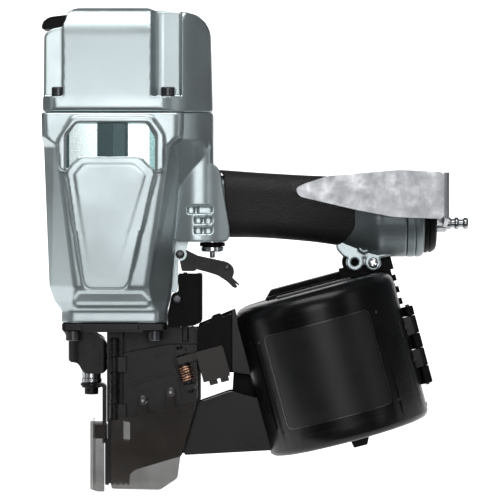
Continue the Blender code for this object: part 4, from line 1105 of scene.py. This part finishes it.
def feed_door():
    """Door plate with its sunk upper field, lower step, screw bosses, knuckles and latch pocket."""
    outline = rounded([(6.4, 50.4), (6.4, 101), (40, 107.5), (60.8, 107.5), (60.8, 66), (49.4, 25),
                       (21, 16.5), (15, 14.8), (11.2, 11), (11.2, 50.4)], 1.6)
    door = extrude(outline, "Y", -16, -5.3)
    sunk = plate([(11.5, 84), (13, 92), (14.5, 96), (39.5, 101.5), (41, 93), (40.5, 89), (13.5, 79.5)], 1.5,
                 -18, -14.6)
    step = plate([(9.2, 80), (13, 77.6), (41, 86.6), (41, 87.8), (14, 79.4), (10, 83)], 0.4, -17, -14)
    door = join(door, step)
    door = cut(door, sunk)
    band = plate([(9, 60), (9, 76), (40, 84.5), (46, 84.5), (46, 66)], 2, -19, -15)
    door = join(door, band)
    for x, z in DOOR_SCREWS:
        boss = plate([(x - 4.6, z - 3.6), (x - 4.4, z + 4.6), (x + 6, z + 7.2), (x + 8.2, z - 6),
                      (x + 1, z - 5.8)], 1.8, -20, -16)
        door = join(door, boss, rod("Y", (x, z), 5, -21, -15))
        door = cut(door, rod("Y", (x, z), 1.8, -30, -8))
    lower = rounded([(13.5, 24), (17, 19.6), (22, 19.4), (47.5, 26), (47.2, 27.6), (22.5, 21.2), (17.6, 21.4),
                     (15, 25)], 0.5)
    door = cut(door, extrude(lower, "Y", -18, -15.2))
    seam = extrude([(24, 44), (44, 50), (44, 50.8), (24, 44.8)], "Y", -17, -15.4)
    door = cut(door, seam)
    for low, high in ((88, 99), (52, 64)):
        barrel = turned([(low, 2.9), (low + 0.5, 3.4), (high - 0.5, 3.4), (high, 2.9)], "Z", (0, DOOR_PIN_Y))
        arm = block(0, 8.5, DOOR_PIN_Y - 2, -15.2, low, high)
        door = join(door, barrel, cut(arm, block(-1, 5.9, -23.5, -10, 0, 120)))
    door = cut(door, rod("Z", (0, DOOR_PIN_Y), 1.8, 40, 110))
    door = cut(door, at_latch(block(-6.5, 40, -9, 8, -7.5, 14.5)))
    door = join(door, *[at_latch(block(-4, 4, -3.8, 9, low, low + 4)) for low in (-12, 15)])
    return eased(cut(door, at_latch(rod("Z", (0, 0), 1.8, -30, 30))), 0.55, 3, 32)


def door_bracket():
    """Knuckle stack on the nose: rings, sleeves and the plate behind them."""
    blocks = [block(-5.8, 3.3, -16, -12.3, 64.3, 112)]
    for low, high, rings in ((99.3, 112, (100.5, 103.5, 110)), (64.3, 87.7, (66, 73, 80, 86))):
        profile = []
        for ring in rings:
            profile += [(ring - 1.1, 3.1), (ring - 0.8, 3.5), (ring + 0.8, 3.5), (ring + 1.1, 3.1)]
        profile = [(low, 3.0)] + [p for p in profile if low < p[0] < high] + [(high, 3.0)]
        barrel = turned(profile, "Z", (0, DOOR_PIN_Y))
        blocks.append(join(barrel, block(-3.3, 3.3, DOOR_PIN_Y, -12.3, low, high)))
    body = join(*blocks)
    return eased(cut(body, rod("Z", (0, DOOR_PIN_Y), 1.8, 40, 118)), 0.35, 2)


def hinge_pin():
    low, high = ends("door_hinge_pin", 2)
    shaft = rod("Z", (0, DOOR_PIN_Y), 1.5, low, high)
    head = turned([(high - 1.6, 2.4), (high - 1.3, 2.8), (high - 0.3, 2.8), (high, 2.4)], "Z",
                  (0, DOOR_PIN_Y))
    return eased(join(shaft, head), 0.15, 2)


def door_latch():
    """Sprung latch: sleeve on the pin, thumb tab and the box-shaped finger."""
    sleeve = rod("Z", (0, 0), 3.6, -7, 14)
    tab = join(block(2, 13, -3.6, -0.6, 8.5, 13.5), block(-3.6, 8, -6.6, -2.6, 8.5, 13.7))
    finger = block(11, 31, -8, 0.5, -9, 14)
    lip = block(29.2, 31.6, -7, -1, -7, 12)
    hooks = [block(15, 21, -6, -1, -12.5, -8.4), block(23.5, 29.5, -6, -1, -12.5, -8.4)]
    finger = join(finger, lip, *hooks)
    finger = cut(finger, block(13, 28, -6.6, 2, -6.5, 11.5))
    finger = cut(finger, rod("Y", (28.6, -6.6), 0.5, -9, -7), rod("Y", (30, -6.4), 0.5, -9, -7))
    latch = join(sleeve, tab, finger)
    return eased(at_latch(cut(latch, rod("Z", (0, 0), 1.8, -20, 20))), 0.5, 3, 35)


def door_screw(x, z):
    """Button head with a six-lobed recess."""
    head = turned([(-24, 1.4), (-23.8, 2.6), (-23, 3.4), (-22.1, 3.65), (-21.3, 3.65)], "Y", (x, z), 48)
    head = join(head, rod("Y", (x, z), 1.5, -22, -9))
    for step in range(3):
        turn = math.radians(step * 60)
        dx, dz = 1.5 * math.cos(turn), 1.5 * math.sin(turn)
        head = cut(head, extrude([(x - dx - dz * 0.28, z - dz + dx * 0.28),
                                  (x + dx - dz * 0.28, z + dz + dx * 0.28),
                                  (x + dx + dz * 0.28, z + dz - dx * 0.28),
                                  (x - dx + dz * 0.28, z - dz - dx * 0.28)], "Y", -26, -22.7))
    return eased(head, 0.12, 2)


def feeder_pieces():
    barrel = turned([(-15, 9.2), (-14.2, 10), (-8, 10), (-7.6, 9.4), (-6.6, 9.4), (-6.2, 10), (15.2, 10),
                     (16, 9.2)], "X", (0, 0), 64)
    barrel = cut(barrel, rod("X", (0, 0), 7.3, -12, 14), rod("X", (0, 0), 2.8, -20, 0),
                 rod("X", (0, 0), 1.5, 10, 20))
    piston = join(rod("X", (0, 0), 7, 5, 10), rod("X", (0, 0), 2.4, -24, 6))
    pawl = join(block(-33, -24.3, -13, 3, -4, 4), block(-31, -28, -21.5, -12, -1.6, 1.6))
    return [eased(at_feeder(solid), 0.4) for solid in (barrel, piston, pawl)]


def build_door():
    dress(feed_door(), "door_plate", "feed_door", STEEL, "black_metal", "feed_door")
    dress(door_bracket(), "hinge_stack", "housing", STEEL, "dark_steel", "door_bracket")
    dress(hinge_pin(), "hinge_pin_turned", "housing", STEEL, "dark_steel", "door_hinge_pin")
    dress(door_latch(), "latch_plate", "door_latch", BROWNED, "black_metal", "door_latch")
    for number, (x, z) in enumerate(DOOR_SCREWS, 1):
        dress(door_screw(x, z), f"door_screw_head_{number}", "feed_door", ZINC, "bright_zinc",
              f"door_screw_{number}")
    pin = at_latch(join(rod("Z", (0, 0), 1.5, -14, 21),
                        turned([(20, 2.2), (20.4, 2.6), (21, 2.4)], "Z", (0, 0))))
    dress(eased(pin, 0.15, 2), "latch_pin_turned", "feed_door", STEEL, "dark_steel", "latch_pin")
    spring = at_latch(wire_coil((0, 0, -5), 4.7, 0.7, 12, 6.5))
    dress(spring, "latch_spring_wire", "feed_door", COPPER, "copper_spring", "latch_spring")
    barrel, piston, pawl = feeder_pieces()
    dress(barrel, "feeder_barrel", "housing", STEEL, "dark_steel", "feeder_cylinder")
    dress(piston, "feeder_piston", "feed_piston", ZINC, "bright_zinc", "feed_piston")
    dress(pawl, "feeder_pawl", "feed_piston", STEEL, "dark_steel", "feed_pawl")


# ---------------------------------------------------------------- trigger group

PIVOT = (Vector(JOINTS["trigger_pull"]["pos_m"]) - Vector((AXIS_X, 0, 0))) / MM
RIVET = (Vector(JOINTS["trigger_arm_tilt"]["pos_m"]) - Vector((AXIS_X, 0, 0))) / MM


def trigger():
    """Pressed channel with its curved finger face, hook and lightening holes."""
    outline = rounded([(44.2, 177), (47, 178.4), (51, 178), (61, 173), (83, 168.3), (87.4, 165), (88.4, 160),
                       (86.5, 156), (91, 149.5), (88, 149), (83, 154), (76, 158.5), (68, 161), (60, 163),
                       (51, 169), (46, 169.6), (44.2, 171.5)], 2.2)
    lever = extrude(outline, "Y", -7.3, 7.3)
    spur = plate([(86, 157.5), (92.2, 151.6), (91.6, 151), (84.5, 155.5)], 0.3, -5.5, 5.5)
    lever = join(lever, spur)
    for side in (-1, 1):
        heel = rounded([(47.5, 171), (49.4, 161.6), (59, 161.6), (62, 164.5), (61, 169)], 1.2)
        lever = join(lever, extrude(heel, "Y", *span(side, 5, 7.3)))
    hollow = extrude([(36, 190), (36, 166), (52, 166), (68, 163), (86, 159), (86, 190)], "Y", -4.8, 4.8)
    lever = cut(lever, hollow, rod("Y", (PIVOT.x, PIVOT.z), 2.3, -12, 12),
                rod("Y", (RIVET.x, RIVET.z), 1.8, -12, 12))
    slot = extrude(round_rect(62.2, 68.6, 165.2, 169, 1.9), "Y", -12, 12)
    return eased(cut(lever, slot, rod("Y", (71.8, 165.6), 1.4, -12, 12)), 0.4, 3, 32)


def trigger_arm():
    x, z = RIVET.x, RIVET.z
    arm = plate([(x - 3, z - 2), (x + 2.5, z - 2), (x + 2.5, z + 2.5), (x - 8, z + 5.2), (x - 26, z + 6.2),
                 (x - 31.5, z + 5.4), (x - 31.5, z + 3)], 1, -4, 4)
    return eased(cut(arm, rod("Y", (x, z), 1.8, -9, 9)), 0.25, 2)


def domed_pin(node, radius, head):
    """Pin across the tool with domed heads."""
    low, high = ends(node, 1)
    centre = (middle(node, 0), middle(node, 2))
    pin = turned([(low, head * 0.6), (low + 0.35, head), (low + 0.7, head), (low + 0.75, radius),
                  (high - 0.75, radius), (high - 0.7, head), (high - 0.35, head), (high, head * 0.6)], "Y",
                 centre, 48)
    return eased(pin, 0.08, 2, 50)


def valve_body():
    low, high = ends("valve_body", 2)
    body = turned([(low, 7.6), (low + 0.6, 8.4), (low + 3.4, 8.4), (low + 3.8, 7), (low + 4.4, 7),
                   (low + 5, 7.6), (high, 7.6)], "Z", (PLUNGER_X, 0))
    body = cut(body, rod("Z", (PLUNGER_X, 0), 2.4, low - 1, low + 7.2),
               rod("Z", (PLUNGER_X, 0), 4.6, low + 7, high + 1))
    return eased(body, 0.2, 2)


def valve_collar():
    """Black retaining collar round the valve's lower rim."""
    low = ends("valve_body", 2)[0]
    collar = turned([(low + 3.9, 8.8), (low + 4.3, 9.4), (low + 6.6, 9.4), (low + 7, 8.8)], "Z",
                    (PLUNGER_X, 0))
    return eased(cut(collar, rod("Z", (PLUNGER_X, 0), 7.8, low, low + 12)), 0.2, 2)


def valve_plunger():
    low, high = ends("valve_plunger", 2)
    plunger = turned([(low, 1.3), (low + 0.6, 1.9), (low + 2.6, 2), (high - 3, 2), (high - 2.9, 4.2),
                      (high, 4.2)], "Z", (PLUNGER_X, 0), 48)
    return eased(plunger, 0.15, 2)


def lever_guard():
    """Moulded cover over the link with its panel line, slot and stiffening edge."""
    outline = rounded([(46.8, 160), (64.5, 160), (64.5, 124), (58, 121), (39, 120), (39, 130.5), (42, 144.6),
                       (46.8, 146)], 2)
    shell = extrude(outline, "Y", -9, 19)
    field = plate([(52.4, 157), (62.5, 157), (62.5, 126), (57, 123.6), (52.4, 123.6)], 1.5, -9.6, -8)
    boss = rod("Y", GUARD_SCREW, 4, -9.4, -8)
    shell = join(shell, field, boss)
    slit = extrude(round_rect(49.2, 50.4, 132, 154, 0.5), "Y", -11, -8.2)
    inside = block(48, 61, -6, 22, 100, 170)
    return eased(cut(shell, inside, slit, rod("Y", GUARD_SCREW, 1.6, -12, 0)), 0.5, 3)


def guard_screw():
    head = turned([(-11, 1.4), (-10.9, 2.4), (-10.3, 3.1), (-9.6, 3.2)], "Y", GUARD_SCREW, 48)
    head = cut(join(head, rod("Y", GUARD_SCREW, 1.3, -10, -1)), rod("Y", GUARD_SCREW, 1.4, -12, -10.2, 6))
    return eased(head, 0.12, 2)


def build_trigger():
    dress(trigger(), "trigger_lever", "trigger", BLACK, "black_metal", "trigger")
    dress(trigger_arm(), "trigger_arm_strip", "trigger_arm", BROWNED, "dark_steel", "trigger_arm")
    dress(domed_pin("trigger_pin", 2.0, 3.2), "trigger_pin_domed", "housing", BOLT, "dark_steel",
          "trigger_pin")
    dress(domed_pin("trigger_arm_pin", 1.5, 2.2), "trigger_rivet", "trigger", BOLT, "dark_steel",
          "trigger_arm_pin")
    dress(valve_body(), "valve_body_turned", "housing", CHROME, "bright_zinc", "valve_body")
    dress(valve_collar(), "valve_collar", "housing", PLASTIC, "black_plastic")
    dress(valve_plunger(), "valve_stem", "valve_plunger", ZINC, "dark_steel", "valve_plunger")
    dress(lever_guard(), "lever_guard_shell", "housing", PLASTIC, "black_plastic", "lever_guard")
    dress(guard_screw(), "guard_screw_head", "housing", BOLT, "bright_zinc", "guard_screw")
    spring = wire_coil((PLUNGER_X, 0, 188), 3.3, 0.5, 9, 4)
    dress(spring, "plunger_spring_wire", "housing", BOLT, "dark_steel", "plunger_spring")


# ---------------------------------------------------------------- drive train and small parts

BORE_RADIUS = 28.5


def cylinder():
    """Machined sleeve with its flange, port ring and seal groove."""
    low, high = ends("cylinder", 2)
    radius = ends("cylinder", 0)[1]
    steps = [(low, radius - 1.2), (low + 1.2, radius)]
    for level in (0.3, 0.62, 0.86):
        z = low + (high - low) * level
        steps += [(z - 1.6, radius), (z - 1.4, radius - 0.5), (z + 1.4, radius - 0.5), (z + 1.6, radius)]
    steps += [(high - 1.2, radius), (high, radius - 1.2)]
    sleeve = cut(turned(steps, "Z", (0, 0), 128), rod("Z", (0, 0), BORE_RADIUS, low - 5, high + 5, 128))
    for step in range(12):
        hole = rod("X", (0, low + 16), 1.6, 20, 40, 16)
        sleeve = cut(sleeve, placed(hole, (0, 0, 0), math.radians(step * 30), "Z"))
    return eased(sleeve, 0.25, 2, 40)


def hollow_ring(profile, inner, low, high, edge=0.3):
    """Turned ring round the drive axis with a plain bore."""
    return eased(cut(turned(profile, "Z", (0, 0), 112), rod("Z", (0, 0), inner, low - 2, high + 2, 96)), edge,
                 2, 40)


def cylinder_seal():
    low, high = ends("cylinder_seal", 2)
    outer = ends("cylinder_seal", 0)[1]
    waist = (low + high) / 2
    profile = [(low, outer - 0.8), (low + 0.7, outer), (waist - 0.5, outer), (waist, outer - 0.6),
               (waist + 0.5, outer), (high - 0.7, outer), (high, outer - 0.8)]
    return hollow_ring(profile, ends("cylinder", 0)[1] + 0.3, low, high)


def piston_bumper():
    low, high = ends("piston_bumper", 2)
    profile = [(low, 30), (low + 0.9, 31), (low + 5, 32.6), (low + 6.5, 33), (low + 8, 31.6),
               (low + 10, 27.6), (low + 10.8, 26.9), (high - 1, 26.2), (high, 25.2)]
    return hollow_ring(profile, 7, low, high)


def piston():
    low, high = ends("piston", 2)
    profile = [(low, 19), (low + 0.6, 20), (low + 3.6, 27.4), (low + 4.2, 28.1), (low + 6, 28.1),
               (low + 6, 25.5), (low + 10, 25.5), (low + 10, 28.1), (high - 0.6, 28.1), (high, 27.5)]
    head = cut(turned(profile, "Z", (0, 0), 112), rod("Z", (0, 0), 4.1, low - 8, 266))
    return eased(cut(head, turned([(high - 2, 17), (high + 1, 19)], "Z", (0, 0), 96)), 0.25, 2, 40)


def piston_ring():
    low, high = ends("piston_ring", 2)
    outer = ends("piston_ring", 0)[1]
    ring = hollow_ring([(low, outer - 0.3), (low + 0.3, outer), (high - 0.3, outer), (high, outer - 0.3)],
                       25.8, low, high, 0.15)
    return cut(ring, block(20, 32, -0.4, 0.4, low - 1, high + 1))


def driver_blade():
    low, high = ends("driver_blade", 2)
    blade = turned([(low, 3.1), (low + 0.7, 3.8), (high, 3.8)], "Z", (0, 0), 48)
    flats = [block(-6, 6, *span(side, 3.2, 6), low - 1, high - 40) for side in (-1, 1)]
    return eased(cut(blade, *flats), 0.2, 2)


def head_valve():
    low, high = ends("head_valve", 2)
    profile = [(low, 35), (low + 1, 36), (low + 4.6, 36), (low + 5, 35.2), (low + 7, 35.2), (low + 7.4, 36),
               (low + 12.4, 36), (low + 13, 35.2), (low + 13, 24), (high - 0.6, 24), (high, 23.4)]
    return hollow_ring(profile, 18, low, high)


def push_rod():
    low, high = ends("push_rod", 2)
    profile = [(low, 1.5), (low + 0.6, 2.1), (96.8, 2.1), (96.8, 6.0), (97.2, 6.4), (98.8, 6.4), (99.2, 6.0),
               (99.2, 2.1), (high - 0.6, 2.1), (high, 1.5)]
    return eased(turned(profile, "Z", ARM_AXIS, 48), 0.1, 2, 50)


def magazine_hinge_pin():
    pin = turned([(-34, 1.1), (-33.6, 1.5), (27, 1.5), (27.5, 1.1)], "Z", (CAN_HINGE_X, 0), 32)
    return eased(tilted(pin), 0.08, 2, 50)


def deflector_bolt():
    """Hex head with a washer face under it."""
    low, high = ends("deflector_bolt", 2)
    head = keep(rod("Z", DEFLECTOR_AXIS, 4.6, high - 2.7, high, 6),
                turned([(high - 2.7, 4.6), (high - 0.8, 4.6), (high, 3.7)], "Z", DEFLECTOR_AXIS))
    washer = turned([(high - 3.1, 5), (high - 2.6, 5)], "Z", DEFLECTOR_AXIS)
    return eased(join(head, washer, rod("Z", DEFLECTOR_AXIS, 2, low, high - 2.5)), 0.15, 2)


def build_drive():
    dress(cylinder(), "cylinder_sleeve", "housing", ALLOY, "dark_steel", "cylinder")
    dress(cylinder_seal(), "cylinder_seal_ring", "housing", SEAL, "seal_rubber", "cylinder_seal")
    dress(piston_bumper(), "bumper_moulded", "housing", SEAL, "seal_rubber", "piston_bumper")
    dress(piston(), "piston_turned", "piston_set", ALLOY, "silver_paint", "piston")
    dress(piston_ring(), "piston_ring_split", "piston_set", SEAL, "seal_rubber", "piston_ring")
    dress(driver_blade(), "driver_blade_ground", "piston_set", ALLOY, "dark_steel", "driver_blade")
    dress(head_valve(), "head_valve_moulded", "head_valve", PLASTIC, "black_plastic", "head_valve")
    spring = wire_coil((0, 0, 299.5), 22, 1.1, 20, 3)
    dress(spring, "head_valve_spring_wire", "housing", BOLT, "dark_steel", "head_valve_spring")
    dress(push_rod(), "push_rod_turned", "push_lever", BOLT, "dark_steel", "push_rod")
    dress(magazine_hinge_pin(), "cover_pin_turned", "housing", BOLT, "dark_steel", "magazine_hinge_pin")
    dress(deflector_bolt(), "deflector_bolt_head", "housing", BOLT, "dark_steel", "deflector_bolt")


# ---------------------------------------------------------------- stage

def backdrop_sheet():
    """Pale paper that sweeps up behind the tool; it glows a little so that it stays near white."""
    paper = bpy.data.materials.new("paper")
    paper.use_nodes = True
    shader = paper.node_tree.nodes["Principled BSDF"]
    shader.inputs["Base Color"].default_value = (0.92, 0.92, 0.92, 1)
    shader.inputs["Roughness"].default_value = 0.95
    shader.inputs["Specular IOR Level"].default_value = 0.0
    shader.inputs["Emission Color"].default_value = (1, 1, 1, 1)
    shader.inputs["Emission Strength"].default_value = 1.0
    front, floor_end, bend, top, half_width = -110, 2700, 500, 1900, 1500
    profile = [(front, 0), (floor_end, 0)]
    for step in range(1, 9):
        turn = math.radians(90 * step / 8)
        profile.append((floor_end + bend * math.sin(turn), bend - bend * math.cos(turn)))
    profile.append((floor_end + bend, top))
    bm = bmesh.new()
    rows = [[bm.verts.new(Vector((x, y, z)) * MM) for y, z in profile] for x in (-half_width, half_width)]
    for i in range(len(profile) - 1):
        bm.faces.new((rows[0][i], rows[0][i + 1], rows[1][i + 1], rows[1][i]))
    backdrop = new_object(bm, "backdrop")
    backdrop.data.shade_smooth()
    backdrop.data.materials.append(paper)


def softbox(name, spot, width, height, power):
    """Rectangular lamp that faces the middle of the tool."""
    aim = Vector((0, 0, 0.18))
    data = bpy.data.lights.new(name, "AREA")
    data.shape = "RECTANGLE"
    data.size = width
    data.size_y = height
    data.energy = power
    lamp = bpy.data.objects.new(name, data)
    lamp.location = spot
    lamp.rotation_euler = (aim - Vector(spot)).to_track_quat("-Z", "Y").to_euler()
    bpy.context.scene.collection.objects.link(lamp)


def build_stage():
    """Pale seamless backdrop, soft light from above and the sides, and a long lens."""
    backdrop_sheet()
    scene = bpy.context.scene
    scene.view_settings.view_transform = "Standard"
    world = bpy.data.worlds.new("studio")
    scene.world = world
    world.use_nodes = True
    sky = world.node_tree.nodes["Background"]
    sky.inputs["Color"].default_value = (0.9, 0.95, 1, 1)
    seen = world.node_tree.nodes.new("ShaderNodeLightPath")
    level = world.node_tree.nodes.new("ShaderNodeMath")
    level.operation = "MULTIPLY_ADD"
    level.inputs[1].default_value = 1.1
    level.inputs[2].default_value = 0.075
    world.node_tree.links.new(seen.outputs["Is Camera Ray"], level.inputs[0])
    world.node_tree.links.new(level.outputs["Value"], sky.inputs["Strength"])
    softbox("top", (-0.15, -0.62, 1.15), 1.2, 0.6, 12.0)
    softbox("left_strip", (-1.15, -0.75, 0.45), 0.25, 1.2, 0.7)
    softbox("right_strip", (1.1, -0.9, 0.5), 0.3, 1.1, 1.2)
    softbox("front_fill", (-0.05, -2.8, 0.42), 1.1, 0.8, 13.0)
    data = bpy.data.cameras.new("camera")
    camera = bpy.data.objects.new("camera", data)
    scene.collection.objects.link(camera)
    target = Vector((AXIS_X + 100 * MM, 0, 177.2 * MM))
    reach, near_face, view_width = 2.4, 0.045, 0.365
    camera.location = target + Vector((0, -reach, 0.04))
    camera.rotation_euler = (target - camera.location).to_track_quat("-Z", "Y").to_euler()
    data.sensor_width = 36
    data.lens = data.sensor_width * (reach - near_face) / view_width
    data.clip_end = 20
    scene.camera = camera


build_stage()
build_housing()
build_handle_end()
build_magazine()
build_nose()
build_door()
build_trigger()
build_drive()
